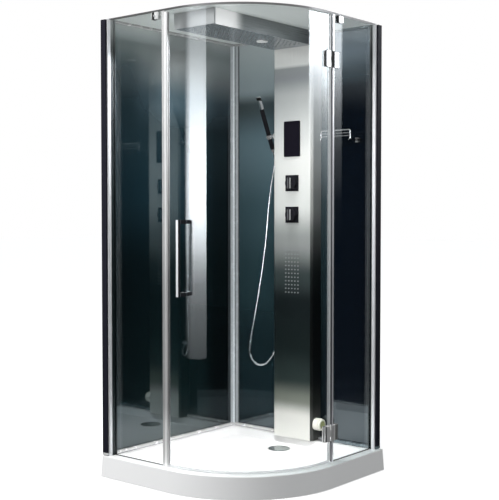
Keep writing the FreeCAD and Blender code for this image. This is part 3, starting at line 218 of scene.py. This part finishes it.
# ---------------------------------------------------------------- materials
def tray_acrylic():
    """White acrylic, with painted shade on its level faces towards the right wall."""
    m, s = new_material("tray_acrylic")
    put(s, IOR=1.49)
    white = mixed(m, noise(m, 3.0), (0.88, 0.88, 0.88), (0.91, 0.91, 0.91))
    # painted shade: the level faces are painted greyer towards the right wall
    painted_shade = product(m, facing(m, "Z", either_way=False), along(m, "X", *TRAY_SHADE_X))
    paint(m, s, mixed(m, painted_shade, white, (0.55, 0.6, 0.6)))
    roughen(m, s, noise(m, 40.0), 0.3, 0.38)
    return m


def galvanised():
    """Zinc-coated sheet with its spangle."""
    m, s = new_material("galvanised")
    put(s, Metallic=0.85)
    spangle = add(m, "ShaderNodeTexVoronoi")
    put(spangle, Scale=90.0)
    link(m, place(m), spangle.inputs["Vector"])
    paint(m, s, mixed(m, spangle.outputs["Distance"], (0.48, 0.5, 0.51), (0.66, 0.68, 0.69)))
    roughen(m, s, noise(m, 60.0), 0.35, 0.55)
    return m


def moulded(name, dark, light, rough, grain=300.0, shine=0.5):
    """Plastic or rubber with a fine moulded grain."""
    m, s = new_material(name)
    put(s, IOR=1.5, Specular_IOR_Level=shine)
    paint(m, s, mixed(m, noise(m, 12.0), dark, light))
    roughen(m, s, noise(m, 70.0), rough * 0.8, rough * 1.2)
    bump = add(m, "ShaderNodeBump")
    put(bump, Strength=0.12, Distance=0.0003)
    link(m, noise(m, grain, 2.0), bump.inputs["Height"])
    link(m, bump.outputs["Normal"], s.inputs["Normal"])
    return m


def polished(name, colour, rough, metal=1.0):
    """Chrome and other mirror metals, with faint wiping marks."""
    m, s = new_material(name)
    put(s, Metallic=metal)
    wiped = tuple(0.93 * value for value in colour)
    paint(m, s, mixed(m, noise(m, 25.0), wiped, colour))
    roughen(m, s, noise(m, 90.0, 6.0), rough * 0.6, rough * 1.8)
    return m


def dark_wall_glass():
    """Tinted mirror-like wall glass whose colour carries painted reflections, paler towards the
    roof and lightest beside the column, and painted shade towards the corner.
    """
    m, s = new_material("dark_wall_glass")
    put(s, IOR=1.95, Specular_Tint=(0.8, 0.94, 1.0, 1))
    height = upward(m)
    # painted reflections: the left wall's tone by height
    left = ramp(m, height, [
        (0.04, (0.04, 0.05, 0.047)), (0.13, (0.004, 0.012, 0.013)),
        (0.45, (0.003, 0.009, 0.011)), (0.62, (0.008, 0.024, 0.033)),
        (0.83, (0.018, 0.037, 0.046)), (0.9, (0.03, 0.055, 0.062)),
        (0.95, (0.11, 0.14, 0.14)), (1.0, (0.46, 0.5, 0.49))])
    across = along(m, "Y", *LEFT_WALL_Y)
    # painted shade across the left wall, darkest at the corner
    shade = ramp(m, across, grey(
        (0.0, 0.8), (0.14, 0.6), (0.3, 0.7), (0.5, 1.0), (0.72, 0.85), (0.86, 0.07), (1.0, 0.03)))
    top_shade = ramp(m, across, grey((0.3, 1.0), (0.5, 0.5), (0.75, 0.5), (0.88, 0.8)))
    near_top = ramp(m, height, grey((0.86, 0.0), (0.95, 1.0)))
    left = times(m, left, mixed(m, near_top, shade, top_shade))
    # painted reflection of the bright roof near the top of the left wall
    painted_reflection = ramp(m, height, [
        (0.76, (0.0, 0.0, 0.0)), (0.84, (0.06, 0.09, 0.11)),
        (0.92, (0.25, 0.26, 0.26)), (1.0, (0.0, 0.0, 0.0))])
    reach = ramp(m, across, grey((0.15, 0.0), (0.3, 0.3), (0.5, 1.0), (0.72, 1.0), (0.9, 0.6)))
    left = mixed(m, 1.0, left, times(m, painted_reflection, reach), "ADD")
    # painted reflections on the back wall, lighter beside the column and near black past it
    middle = ramp(m, height, [
        (0.0, (0.006, 0.013, 0.017)), (0.25, (0.011, 0.026, 0.032)),
        (0.42, (0.027, 0.058, 0.068)), (0.58, (0.05, 0.093, 0.11)),
        (0.75, (0.13, 0.2, 0.23)), (0.84, (0.06, 0.08, 0.085)),
        (0.88, (0.31, 0.38, 0.4)), (1.0, (0.48, 0.54, 0.55))])
    right = ramp(m, height, [
        (0.0, (0.002, 0.004, 0.008)), (0.82, (0.001, 0.003, 0.007)),
        (0.86, (0.003, 0.007, 0.013)), (0.89, (0.02, 0.04, 0.055)),
        (0.95, (0.18, 0.24, 0.29)), (1.0, (0.34, 0.4, 0.45))])
    back = mixed(m, along(m, "X", *BEHIND_COLUMN_X), middle, right)
    paint(m, s, mixed(m, along(m, "Y", *WALLS_MEET_Y), left, back))
    roughen(m, s, noise(m, 6.0, 5.0), 0.02, 0.06)
    return m


def clear_glass():
    """Thin clear glass: it lets light straight through and mirrors more at a glance."""
    m, s = new_material("clear_glass")
    put(s, Base_Color=(0.95, 0.98, 0.97, 1), Metallic=1.0, Roughness=0.01)
    edge_on = add(m, "ShaderNodeLayerWeight")
    put(edge_on, Blend=0.5)
    steep = add(m, "ShaderNodeMath", operation="POWER")
    link(m, edge_on.outputs["Facing"], steep.inputs[0])
    steep.inputs[1].default_value = 5.0
    link(m, between(m, steep.outputs["Value"], 0.045, 1.0, 0.0, 1.0), s.inputs["Alpha"])
    return m


def clear_seal():
    """Soft clear seal, partly see-through."""
    m, s = new_material("clear_seal")
    put(s, Roughness=0.25, Alpha=0.55)
    paint(m, s, mixed(m, noise(m, 60.0), (0.62, 0.65, 0.66), (0.74, 0.76, 0.77)))
    return m


def brushed_column():
    """Upright brushed steel whose colour carries painted reflections, bright at the top and at the
    foot and dark lower down, with painted shade on its sides lower down.
    """
    m, s = new_material("brushed_column")
    put(s, Metallic=0.35)
    brush = noise(m, 500.0, 3.0, (1, 1, 0.01))
    # painted reflections on the column by height
    front = ramp(m, upward(m), [
        (0.05, (0.85, 0.85, 0.8)), (0.1, (0.77, 0.77, 0.72)), (0.14, (0.2, 0.22, 0.185)),
        (0.19, (0.025, 0.04, 0.038)), (0.27, (0.006, 0.013, 0.013)), (0.37, (0.004, 0.009, 0.01)),
        (0.43, (0.035, 0.05, 0.05)), (0.515, (0.3, 0.32, 0.31)), (0.6, (0.68, 0.7, 0.67)),
        (0.7, (0.74, 0.75, 0.72)), (0.775, (0.66, 0.68, 0.66)), (0.846, (0.53, 0.55, 0.54)),
        (0.895, (0.29, 0.31, 0.32)), (0.914, (0.32, 0.34, 0.34)), (0.921, (0.84, 0.85, 0.82)),
        (0.96, (0.9, 0.9, 0.86))])
    # painted shade on the faces that look along X
    side = ramp(m, upward(m), grey((0.05, 0.1), (0.45, 0.25), (0.6, 0.6), (0.75, 1.0)))
    tone = times(m, front, mixed(m, facing(m, "X"), (1.0, 1.0, 1.0), side))
    paint(m, s, streaked(m, tone, brush, 0.96, 1.03))
    roughen(m, s, brush, 0.3, 0.34)
    return m


def brushed_box():
    """Brushed steel with the lines running along the box, with a painted highlight and a painted
    glow beside its front corner and painted shade further back.
    """
    m, s = new_material("brushed_box")
    put(s, Metallic=0.05, Emission_Strength=0.35)
    brush = noise(m, 500.0, 3.0, (1, 0.01, 1))
    length = along(m, "Y", *BOX_Y)
    # painted highlight beside the front corner and painted shade towards the wall
    tone = ramp(m, length, [
        (0.0, (0.4, 0.42, 0.43)), (0.012, (0.4, 0.42, 0.43)), (0.02, (0.95, 0.95, 0.95)),
        (0.16, (0.95, 0.95, 0.95)), (0.28, (0.2, 0.23, 0.24)), (0.7, (0.2, 0.235, 0.24)),
        (0.9, (0.06, 0.075, 0.085))])
    # painted glow: the highlight band also emits light, though it is no lamp
    glow = ramp(m, length, grey((0.012, 0.12), (0.02, 1.0), (0.15, 1.0), (0.26, 0.0)))
    paint(m, s, streaked(m, tone, brush, 0.92, 1.04))
    link(m, glow, s.inputs["Emission Color"])
    roughen(m, s, brush, 0.25, 0.35)
    return m


def roof_sheet():
    """Pale roof sheet that lets some light through, shown as a painted glow, with its edges painted
    darker as painted shade.
    """
    m, s = new_material("roof_sheet")
    # painted glow: the sheet emits its own tone in place of the light it lets through
    put(s, IOR=1.5, Emission_Strength=0.19)
    sheet = mixed(m, noise(m, 2.0, 1.0), (0.48, 0.52, 0.51), (0.52, 0.56, 0.55))
    # painted shade on the edges
    painted_edge_shade = ramp(m, axis_of(m, "X"), grey((0.0, 0.05), (0.08, 0.17), (0.42, 0.17), (0.47, 0.05)))
    tone = mixed(m, facing(m, "Z"), painted_edge_shade, sheet)
    paint(m, s, tone)
    link(m, tone, s.inputs["Emission Color"])
    roughen(m, s, noise(m, 20.0, 1.0), 0.3, 0.34)
    return m


def clamp_chrome():
    """Chrome of the small roof clamps with painted reflections: part of each plate painted dark,
    the rest light.
    """
    m, s = new_material("clamp_chrome")
    put(s, Metallic=0.5)
    # painted reflections across the clamp plates
    left = ramp(m, along(m, "X", *LEFT_CLAMP_X), grey(
        (0.12, 0.7), (0.18, 0.02), (0.46, 0.02), (0.52, 0.95)), False)
    right = ramp(m, along(m, "Y", *RIGHT_CLAMP_Y), grey(
        (0.2, 0.02), (0.26, 0.95), (0.7, 0.95), (0.76, 0.5)), False)
    paint(m, s, mixed(m, along(m, "X", *LEFT_OR_RIGHT_X), left, right))
    roughen(m, s, noise(m, 90.0), 0.1, 0.2)
    return m


def hinge_chrome():
    """Chrome of the hinges with painted reflections: bright bands, and dark lines in the barrels
    and at the leaves' free edges.
    """
    m, s = new_material("hinge_chrome")
    put(s, Metallic=0.4)
    across = along(m, "Y", *HINGE_Y)
    # painted reflections across the hinge leaves and barrels
    upper = ramp(m, across, grey(
        (0.0, 0.08), (0.1, 0.08), (0.13, 0.92), (0.4, 0.92), (0.43, 0.07), (0.58, 0.1),
        (0.61, 0.92)), False)
    lower = ramp(m, across, grey(
        (0.06, 0.8), (0.08, 0.04), (0.13, 0.04), (0.15, 0.8), (0.52, 0.8), (0.54, 0.08),
        (0.59, 0.08), (0.61, 0.9), (0.76, 0.9), (0.78, 0.03)), False)
    paint(m, s, mixed(m, axis_of(m, "Z"), lower, upper))
    roughen(m, s, noise(m, 90.0), 0.07, 0.14)
    return m


def handle_chrome(name, front):
    """Chrome of a square door handle with painted light: a given tone in front, a painted highlight
    on top and painted shade elsewhere.
    """
    m, s = new_material(name)
    put(s, Metallic=0.3)
    # painted shade on the faces that do not look forward, a painted highlight on the top
    body = mixed(m, facing(m, "Y", -0.7, -0.85, False), (0.03, 0.033, 0.038), front)
    paint(m, s, mixed(m, facing(m, "Z", 0.5, 0.8, False), body, (0.75, 0.78, 0.8)))
    roughen(m, s, noise(m, 90.0), 0.08, 0.16)
    return m


def aroma_plastic():
    """Pale cap with an olive disc in its middle."""
    m, s = new_material("aroma_plastic")
    put(s, IOR=1.5)
    reach = add(m, "ShaderNodeVectorMath", operation="DISTANCE")
    link(m, place(m), reach.inputs[0])
    reach.inputs[1].default_value = AROMA_CAP_CENTRE
    olive = mixed(m, noise(m, 30.0), (0.28, 0.31, 0.12), (0.42, 0.45, 0.2))
    outside = between(m, reach.outputs["Value"], 0.0, 1.0, *AROMA_DISC_RADIUS)
    paint(m, s, mixed(m, outside, olive, (0.78, 0.78, 0.68)))
    roughen(m, s, noise(m, 70.0), 0.25, 0.35)
    return m


def handset_chrome():
    """Chrome of the handset's head, painted dark grey as a painted reflection, with a dark spray
    face near its tip, a painted highlight at its tip and a painted highlight on its side.
    """
    m, s = new_material("handset_chrome")
    put(s, Metallic=0.6)
    # painted reflection on the body, the dark spray face, and a painted highlight at the tip
    tone = ramp(m, along(m, "Z", *HANDSET_HEAD_Z), [
        (0.0, (0.1, 0.14, 0.15)), (0.66, (0.14, 0.18, 0.19)), (0.7, (0.01, 0.01, 0.01)),
        (0.88, (0.01, 0.01, 0.01)), (0.92, (0.9, 0.9, 0.9))], False)
    # painted highlight on the side that looks along X, below the spray face
    side = product(m, facing(m, "X", 0.5, 0.8, False), short_of(m, "Z", *SPRAY_FACE_Z))
    paint(m, s, mixed(m, side, tone, (0.7, 0.73, 0.75)))
    roughen(m, s, noise(m, 90.0), 0.08, 0.16)
    return m


def lever_chrome():
    """Knob lever: dark grey front, black sides and a chrome band along its foot."""
    m, s = new_material("lever_chrome")
    put(s, Metallic=0.2)
    side = mixed(m, along(m, "Y", *LEVER_BAND_Y), (0.008, 0.008, 0.012), (0.93, 0.94, 0.95))
    paint(m, s, mixed(m, facing(m, "Y"), side, (0.12, 0.12, 0.13)))
    roughen(m, s, noise(m, 90.0), 0.1, 0.2)
    return m


def channel_profile():
    """Wall channel: a bright nose, and the dark lip that grips the glass behind it, lightened
    towards the roof by a painted reflection.
    """
    m, s = new_material("channel_profile")
    put(s, Metallic=0.35)
    bright = (0.86, 0.87, 0.89)
    # painted reflection: the lip turns paler towards the roof
    lip = ramp(m, upward(m), [
        (0.75, (0.012, 0.02, 0.022)), (0.92, (0.06, 0.07, 0.07)), (1.0, (0.35, 0.37, 0.37))])
    left = mixed(m, short_of(m, "Y", *CHANNEL_LIP_Y), lip, bright)
    paint(m, s, mixed(m, along(m, "X", *RIGHT_CHANNEL_X), left, bright))
    roughen(m, s, noise(m, 30.0), 0.18, 0.27)
    return m


def glass_strip():
    """Long aluminium strips on the glass edges, with painted shade from the waist down to near the
    tray, a painted highlight along the closing strip and, on the right, a painted highlight on the
    faces that look along X and painted shade on the others.
    """
    m, s = new_material("glass_strip")
    put(s, Metallic=0.35)
    # painted shade from the waist down, lighter near the tray and the top
    tone = ramp(m, upward(m), grey(
        (0.05, 0.95), (0.12, 0.8), (0.18, 0.49), (0.4, 0.52), (0.55, 0.76), (0.8, 0.87)))
    # painted highlight band along the closing strip
    left = ramp(m, along(m, "X", *CLOSING_STRIP_X), grey(
        (0.0, 0.8), (0.36, 0.8), (0.42, 1.3), (0.7, 1.3), (0.76, 0.8), (1.0, 0.8)), False)
    # painted highlight on the right strips' faces that look along X, painted shade on the others
    right = mixed(m, facing(m, "X"), (0.08, 0.08, 0.09), (1.2, 1.2, 1.25))
    tone = times(m, tone, mixed(m, along(m, "X", *LEFT_OR_RIGHT_X), left, right))
    paint(m, s, streaked(m, tone, die_lines(m), 0.95, 1.02))
    roughen(m, s, noise(m, 30.0), 0.18, 0.27)
    return m


def wall_rail():
    """Slim rails at the foot and the top of the walls; the top ones are painted darker grey, and
    those behind the fixed glass carry painted shade.
    """
    m, s = new_material("wall_rail")
    put(s, Metallic=0.35)
    # the top rails painted darker grey
    tone = ramp(m, along(m, "Z", *TOP_RAIL_Z), grey((0.0, 0.87), (0.5, 0.87), (0.68, 0.4)), False)
    # painted shade on the rails behind the fixed glass
    tone = mixed(m, along(m, "X", *RIGHT_RAIL_X), tone, (0.2, 0.25, 0.27))
    paint(m, s, streaked(m, tone, noise(m, 30.0), 0.95, 1.0))
    roughen(m, s, noise(m, 30.0), 0.2, 0.3)
    return m


def black_profile():
    """Black painted aluminium of the end posts, with faint die lines."""
    m, s = new_material("black_profile")
    put(s, Specular_IOR_Level=0.1)
    paint(m, s, mixed(m, die_lines(m), (0.009, 0.009, 0.015), (0.013, 0.013, 0.021)))
    roughen(m, s, noise(m, 30.0), 0.4, 0.6)
    return m


def corner_profile():
    """Corner profile: satin legs, a painted highlight along its rounded nose, and two dark lines
    across it.
    """
    m, s = new_material("corner_profile")
    put(s, Metallic=0.05)
    across = add(m, "ShaderNodeMath", operation="ADD")
    link(m, axis_of(m, "X"), across.inputs[0])
    link(m, axis_of(m, "Y"), across.inputs[1])
    # painted highlight along the nose, and the dark lines across the profile
    stripe = ramp(m, between(m, across.outputs["Value"], 0.0, 1.0, *CORNER_STRIPES), grey(
        (0.0, 0.6), (0.3, 0.6), (0.35, 1.0), (0.44, 1.0), (0.48, 0.2), (0.55, 0.2), (0.58, 0.55),
        (0.83, 0.55), (0.86, 0.02), (0.93, 0.02), (0.95, 0.3)), False)
    stripe = times(m, stripe, (0.94, 1.0, 1.04))
    paint(m, s, streaked(m, stripe, die_lines(m), 0.95, 1.05))
    roughen(m, s, noise(m, 30.0), 0.2, 0.3)
    return m


# Materials by the slot that a node names in the record.
MATERIALS = {
    "tray_acrylic": tray_acrylic(),
    "galvanised": galvanised(),
    "inner_plastic": moulded("inner_plastic", (0.5, 0.5, 0.49), (0.6, 0.6, 0.58), 0.5),
    "chrome": polished("chrome", (0.88, 0.89, 0.9), 0.07, 0.8),
    "wall_glass": dark_wall_glass(),
    "black_aluminium": black_profile(),
    "dark_seal": moulded("dark_seal", (0.03, 0.03, 0.03), (0.05, 0.05, 0.05), 0.6),
    "roof_plastic": roof_sheet(),
    "clear_glass": clear_glass(),
    "clear_seal": clear_seal(),
    "brushed_steel": brushed_column(),
    "polished_steel": polished("polished_steel", (0.17, 0.2, 0.22), 0.2, 0.5),
    "screen_black": moulded(
        "screen_black", (0.006, 0.005, 0.009), (0.01, 0.009, 0.014), 0.05, 20.0, 0.15),
    "gloss_black": moulded(
        "gloss_black", (0.008, 0.008, 0.01), (0.014, 0.014, 0.017), 0.12, 60.0, 0.2),
    "brass": polished("brass", (0.72, 0.56, 0.3), 0.25),
    "copper_pipe": polished("copper_pipe", (0.72, 0.42, 0.28), 0.25),
    "nozzle_rubber": moulded("nozzle_rubber", (0.2, 0.22, 0.22), (0.3, 0.32, 0.32), 0.45),
    "light_lens": moulded("light_lens", (0.78, 0.79, 0.78), (0.86, 0.86, 0.85), 0.2),
    "white_plastic": moulded("white_plastic", (0.82, 0.81, 0.72), (0.88, 0.87, 0.8), 0.25),
    "olive_plastic": aroma_plastic(),
    "hose_chrome": polished("hose_chrome", (0.86, 0.87, 0.88), 0.18),
}
STRIP = glass_strip()
HINGE = hinge_chrome()
LEVER = lever_chrome()
# Nodes whose look differs from the other nodes of their slot.
NODE_MATERIALS = {
    "overhead_housing": brushed_box(),
    "corner_post": corner_profile(),
    "roof_clamps": clamp_chrome(),
    "wall_channels": channel_profile(),
    "wall_rails": wall_rail(),
    "glass_edge_strips": STRIP,
    "door_magnet_strip": STRIP,
    "door_hinge_leaves": HINGE,
    "fixed_hinge_leaves": HINGE,
    "hinge_pins": HINGE,
    # The outer handle's front is painted lit and the inner handle's front painted in shade.
    "door_handle_outside": handle_chrome("outer_handle", (0.92, 0.93, 0.95)),
    "door_handle_inside": handle_chrome("inner_handle", (0.1, 0.12, 0.13)),
    "mixer_lever": LEVER,
    "diverter_lever": LEVER,
    "handset_head": handset_chrome(),
    "drain_cover": polished("cover_steel", (0.42, 0.47, 0.47), 0.15, 0.8),
}

slot_of = {part["node"]: part["material_slot"] for part in frame["record"]["subparts"]}
for node_name, node_object in frame["nodes"].items():
    wanted = NODE_MATERIALS.get(node_name) or MATERIALS[slot_of[node_name]]
    node_object.data.materials.clear()
    node_object.data.materials.append(wanted)


# ---------------------------------------------------------------- camera
SENSOR_WIDTH = 36.0
PHOTO_SIDE = 500.0                 # the photograph's longer side, in pixels


def look(azimuth, distance, height, yaw, pitch, focal_pixels, shift):
    """Camera solved from the photograph's outline.

    azimuth, distance and height place it round the cabin; yaw and pitch are its own turn from the
    cabin's axis and its tilt down. Angles are in degrees.
    """
    turn = math.radians(azimuth + yaw)
    tilt = math.radians(pitch)
    forward = Vector((-math.sin(turn) * math.cos(tilt), math.cos(turn) * math.cos(tilt),
                      -math.sin(tilt)))
    data = bpy.data.cameras.new("camera")
    data.lens = focal_pixels * SENSOR_WIDTH / PHOTO_SIDE
    data.sensor_width = SENSOR_WIDTH
    data.shift_x = shift
    camera = bpy.data.objects.new("camera", data)
    camera.location = (math.sin(math.radians(azimuth)) * distance,
                       -math.cos(math.radians(azimuth)) * distance, height)
    camera.rotation_mode = "QUATERNION"
    camera.rotation_quaternion = forward.to_track_quat("-Z", "Y")
    bpy.context.collection.objects.link(camera)
    bpy.context.scene.camera = camera


look(azimuth=39.866, distance=4.92711, height=1.28591, yaw=-0.325, pitch=2.022,
     focal_pixels=998.53, shift=-0.001)


# ---------------------------------------------------------------- hose
HOSE_RADIUS = 0.0055
HOSE_GROOVE = 0.0007
HOSE_RING_STEP = 0.0016
HOSE_ROUTE = [
    (-0.165, 0.4419, 1.6223), (-0.165, 0.4559, 1.5924), (-0.1685, 0.457, 1.545),
    (-0.174, 0.443, 1.478), (-0.178, 0.43, 1.4), (-0.181, 0.417, 1.29), (-0.184, 0.405, 1.16),
    (-0.194, 0.391, 1.02), (-0.209, 0.376, 0.88), (-0.225, 0.36, 0.745), (-0.24, 0.347, 0.635),
    (-0.247, 0.341, 0.577), (-0.244, 0.34, 0.533), (-0.226, 0.345, 0.498), (-0.196, 0.358, 0.48),
    (-0.166, 0.376, 0.486), (-0.149, 0.394, 0.511), (-0.1442, 0.4153, 0.5346),
]


def finished(name, mesh, smooth=True):
    """Turn a bmesh into an object of the scene."""
    bmesh.ops.recalc_face_normals(mesh, faces=mesh.faces)
    data = bpy.data.meshes.new(name)
    mesh.to_mesh(data)
    mesh.free()
    for face in data.polygons:
        face.use_smooth = smooth
    made = bpy.data.objects.new(name, data)
    bpy.context.collection.objects.link(made)
    return made


def spline_points(route):
    """Points along the smooth NURBS line that the route controls."""
    curve = bpy.data.curves.new("hose_line", "CURVE")
    curve.dimensions = "3D"
    curve.resolution_u = 24
    spline = curve.splines.new("NURBS")
    spline.points.add(len(route) - 1)
    for point, where in zip(spline.points, route):
        point.co = (*where, 1)
    spline.order_u = 3
    spline.use_endpoint_u = True
    line = bpy.data.objects.new("hose_line", curve)
    mesh = bpy.data.meshes.new_from_object(line)
    points = [vertex.co.copy() for vertex in mesh.vertices]
    bpy.data.objects.remove(line)
    bpy.data.meshes.remove(mesh)
    return points


def even_points(points, step):
    """The same line with points a step apart, and its length."""
    lengths = [0.0]
    for first, second in zip(points, points[1:]):
        lengths.append(lengths[-1] + (second - first).length)
    count = max(2, round(lengths[-1] / step))
    result, index = [], 0
    for number in range(count + 1):
        target = lengths[-1] * number / count
        while index < len(points) - 2 and lengths[index + 1] < target:
            index += 1
        span = lengths[index + 1] - lengths[index]
        share = (target - lengths[index]) / span if span else 0
        result.append(points[index].lerp(points[index + 1], share))
    return result, lengths[-1]


def ribbed_tube(name, points, radius, groove, sides=16):
    """A tube whose radius dips at every other ring, like a spiral metal hose."""
    mesh = bmesh.new()
    rings = []
    across = Vector((1, 0, 0))
    for index, point in enumerate(points):
        before, after = points[max(index - 1, 0)], points[min(index + 1, len(points) - 1)]
        ahead = (after - before).normalized()
        across = (across - ahead * across.dot(ahead)).normalized()
        up = ahead.cross(across)
        reach = radius - (groove if index % 2 else 0)
        turns = (2 * math.pi * side / sides for side in range(sides))
        rings.append([
            mesh.verts.new(point + (across * math.cos(turn) + up * math.sin(turn)) * reach)
            for turn in turns])
    for first, second in zip(rings, rings[1:]):
        for side in range(sides):
            beside = (side + 1) % sides
            mesh.faces.new((first[side], first[beside], second[beside], second[side]))
    mesh.faces.new(list(reversed(rings[0])))
    mesh.faces.new(rings[-1])
    return finished(name, mesh)


def dress(piece, body, slot):
    """Give a piece its slot's material and the body that it rides on."""
    piece.data.materials.clear()
    piece.data.materials.append(MATERIALS[slot])
    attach(piece, body)
    return piece


hose_line, hose_length = even_points(spline_points(HOSE_ROUTE), HOSE_RING_STEP)
hose = dress(ribbed_tube("ribbed_hose", hose_line, HOSE_RADIUS, HOSE_GROOVE),
             "cabin", "hose_chrome")
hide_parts("shower_hose")


# ---------------------------------------------------------------- studio
def lamp(name, where, target, size, power, spread=None):
    """A lamp that lights surfaces but shows in no reflection.

    With a spread, in degrees, it is a panel that faces its target; without one it is a ball.
    """
    data = bpy.data.lights.new(name, "AREA" if spread else "POINT")
    data.energy = power
    if spread:
        data.size = size
        data.spread = math.radians(spread)
    else:
        data.shadow_soft_size = size
    made = bpy.data.objects.new(name, data)
    made.location = where
    made.rotation_mode = "QUATERNION"
    made.rotation_quaternion = (Vector(target) - Vector(where)).to_track_quat("-Z", "Y")
    made.visible_camera = False
    made.visible_glossy = False
    bpy.context.collection.objects.link(made)


def softbox(name, left, right, bottom, top, strength, heights, sides):
    """An upright glowing panel between two plan points, seen only in reflections.

    heights gives its brightness from the bottom to the top, and sides from left to right.
    """
    mesh = bmesh.new()
    mesh.faces.new([mesh.verts.new((*point, z)) for point, z in
                    ((left, bottom), (right, bottom), (right, top), (left, top))])
    panel = finished(name, mesh, smooth=False)
    glow = bpy.data.materials.new(name)
    glow.use_nodes = True
    glow.node_tree.nodes.clear()
    output = add(glow, "ShaderNodeOutputMaterial")
    emission = add(glow, "ShaderNodeEmission")
    put(emission, Strength=strength)
    rise = ramp(glow, along(glow, "Z", bottom, top), grey(*heights), False)
    sideways = ramp(glow, along(glow, "X", left[0], right[0]), grey(*sides), False)
    cool = times(glow, times(glow, rise, sideways), (0.95, 0.98, 1.03))
    link(glow, cool, emission.inputs["Color"])
    link(glow, emission.outputs["Emission"], output.inputs["Surface"])
    panel.data.materials.append(glow)
    panel.visible_camera = False
    panel.visible_diffuse = False
    panel.visible_transmission = False
    panel.visible_shadow = False


def studio_floor(reach=40.0):
    """A white floor that fades into the backdrop."""
    mesh = bmesh.new()
    mesh.faces.new([mesh.verts.new((x, y, 0)) for x, y in
                    ((-reach, -reach), (reach, -reach), (reach, reach), (-reach, reach))])
    floor = finished("studio_floor", mesh, smooth=False)
    m, s = new_material("studio_floor")
    put(s, Roughness=0.9, Emission_Color=(1, 1, 1, 1), Emission_Strength=0.45)
    paint(m, s, mixed(m, noise(m, 2.0), (0.9, 0.9, 0.9), (0.92, 0.92, 0.92)))
    floor.data.materials.append(m)
    floor.visible_glossy = False
    floor.visible_diffuse = False


def studio_world():
    """White to the camera, an even soft light on surfaces, and a dark horizon in reflections."""
    world = bpy.data.worlds.new("studio")
    bpy.context.scene.world = world
    world.use_nodes = True
    world.node_tree.nodes.clear()
    output = add(world, "ShaderNodeOutputWorld")
    rays = add(world, "ShaderNodeLightPath")
    split = add(world, "ShaderNodeSeparateXYZ")
    link(world, add(world, "ShaderNodeTexCoord").outputs["Generated"], split.inputs["Vector"])
    rise = add(world, "ShaderNodeMath", operation="MULTIPLY_ADD")
    rise.inputs[1].default_value = 0.5
    rise.inputs[2].default_value = 0.5
    link(world, split.outputs["Z"], rise.inputs[0])

    def backdrop(colour):
        node = add(world, "ShaderNodeBackground")
        if isinstance(colour, tuple):
            put(node, Color=colour)
        else:
            link(world, colour, node.inputs["Color"])
        return node.outputs["Background"]

    def sky(*stops):
        cool = [(position, (value * 0.97, value * 0.99, value)) for position, value in stops]
        return backdrop(ramp(world, rise.outputs["Value"], cool, False))

    def chosen(ray, otherwise, wanted):
        node = add(world, "ShaderNodeMixShader")
        link(world, rays.outputs[ray], node.inputs["Fac"])
        link(world, otherwise, node.inputs[1])
        link(world, wanted, node.inputs[2])
        return node.outputs["Shader"]

    soft = sky((0.47, 0.06), (0.53, 0.6))
    mirror = sky((0.0, 0.01), (0.553, 0.01), (0.587, 0.4), (0.66, 0.9))
    unseen = chosen("Is Glossy Ray", soft, mirror)
    shown = chosen("Is Camera Ray", unseen, backdrop((1, 1, 1, 1)))
    link(world, shown, output.inputs["Surface"])


studio_floor()
studio_world()
lamp("key_light", where=(-2.9, -4.8, 3.5), target=(0, 0, 0.9), size=2.5, power=310, spread=180)
lamp("right_light", where=(5.0, -0.5, 3.2), target=(0, 0, 1.0), size=2.5, power=34, spread=180)
lamp("top_light", where=(0.3, -0.3, 5.5), target=(0, 0, 0), size=4.0, power=60, spread=180)
lamp("tray_light", where=(0.0, 0.0, 2.1), target=(0, 0, 0), size=0.5, power=6, spread=60)
lamp("cabin_light", where=(0.0, -0.2, 1.6), target=(0.0, -0.2, 0), size=0.25, power=13)
softbox("left_strip", left=(-1.417, -3.081), right=(0.044, -3.417), bottom=0.2, top=3.0,
        strength=16.0,
        heights=[(0.0, 0.04), (0.12, 0.08), (0.2, 0.15), (0.26, 0.31), (0.32, 0.57), (0.4, 0.9),
                 (0.48, 1.0), (0.6, 0.85), (0.68, 0.61), (0.73, 0.48), (0.78, 0.3), (0.88, 0.17)],
        sides=[(0.0, 0.0), (0.18, 0.55), (0.3, 1.0), (1.0, 1.0)])
softbox("right_strip", left=(3.221, 1.519), right=(2.25, 2.836), bottom=0.9, top=3.2,
        strength=14.0,
        heights=[(0.0, 0.0), (0.05, 0.001), (0.217, 0.007), (0.383, 0.07), (0.483, 0.17),
                 (0.548, 0.31), (0.613, 0.53), (0.683, 0.8), (0.75, 1.0)],
        sides=[(0.0, 0.9), (0.94, 1.0), (0.955, 0.38), (1.0, 0.38)])

scene = bpy.context.scene
scene.view_settings.view_transform = "Standard"
scene.view_settings.look = "None"
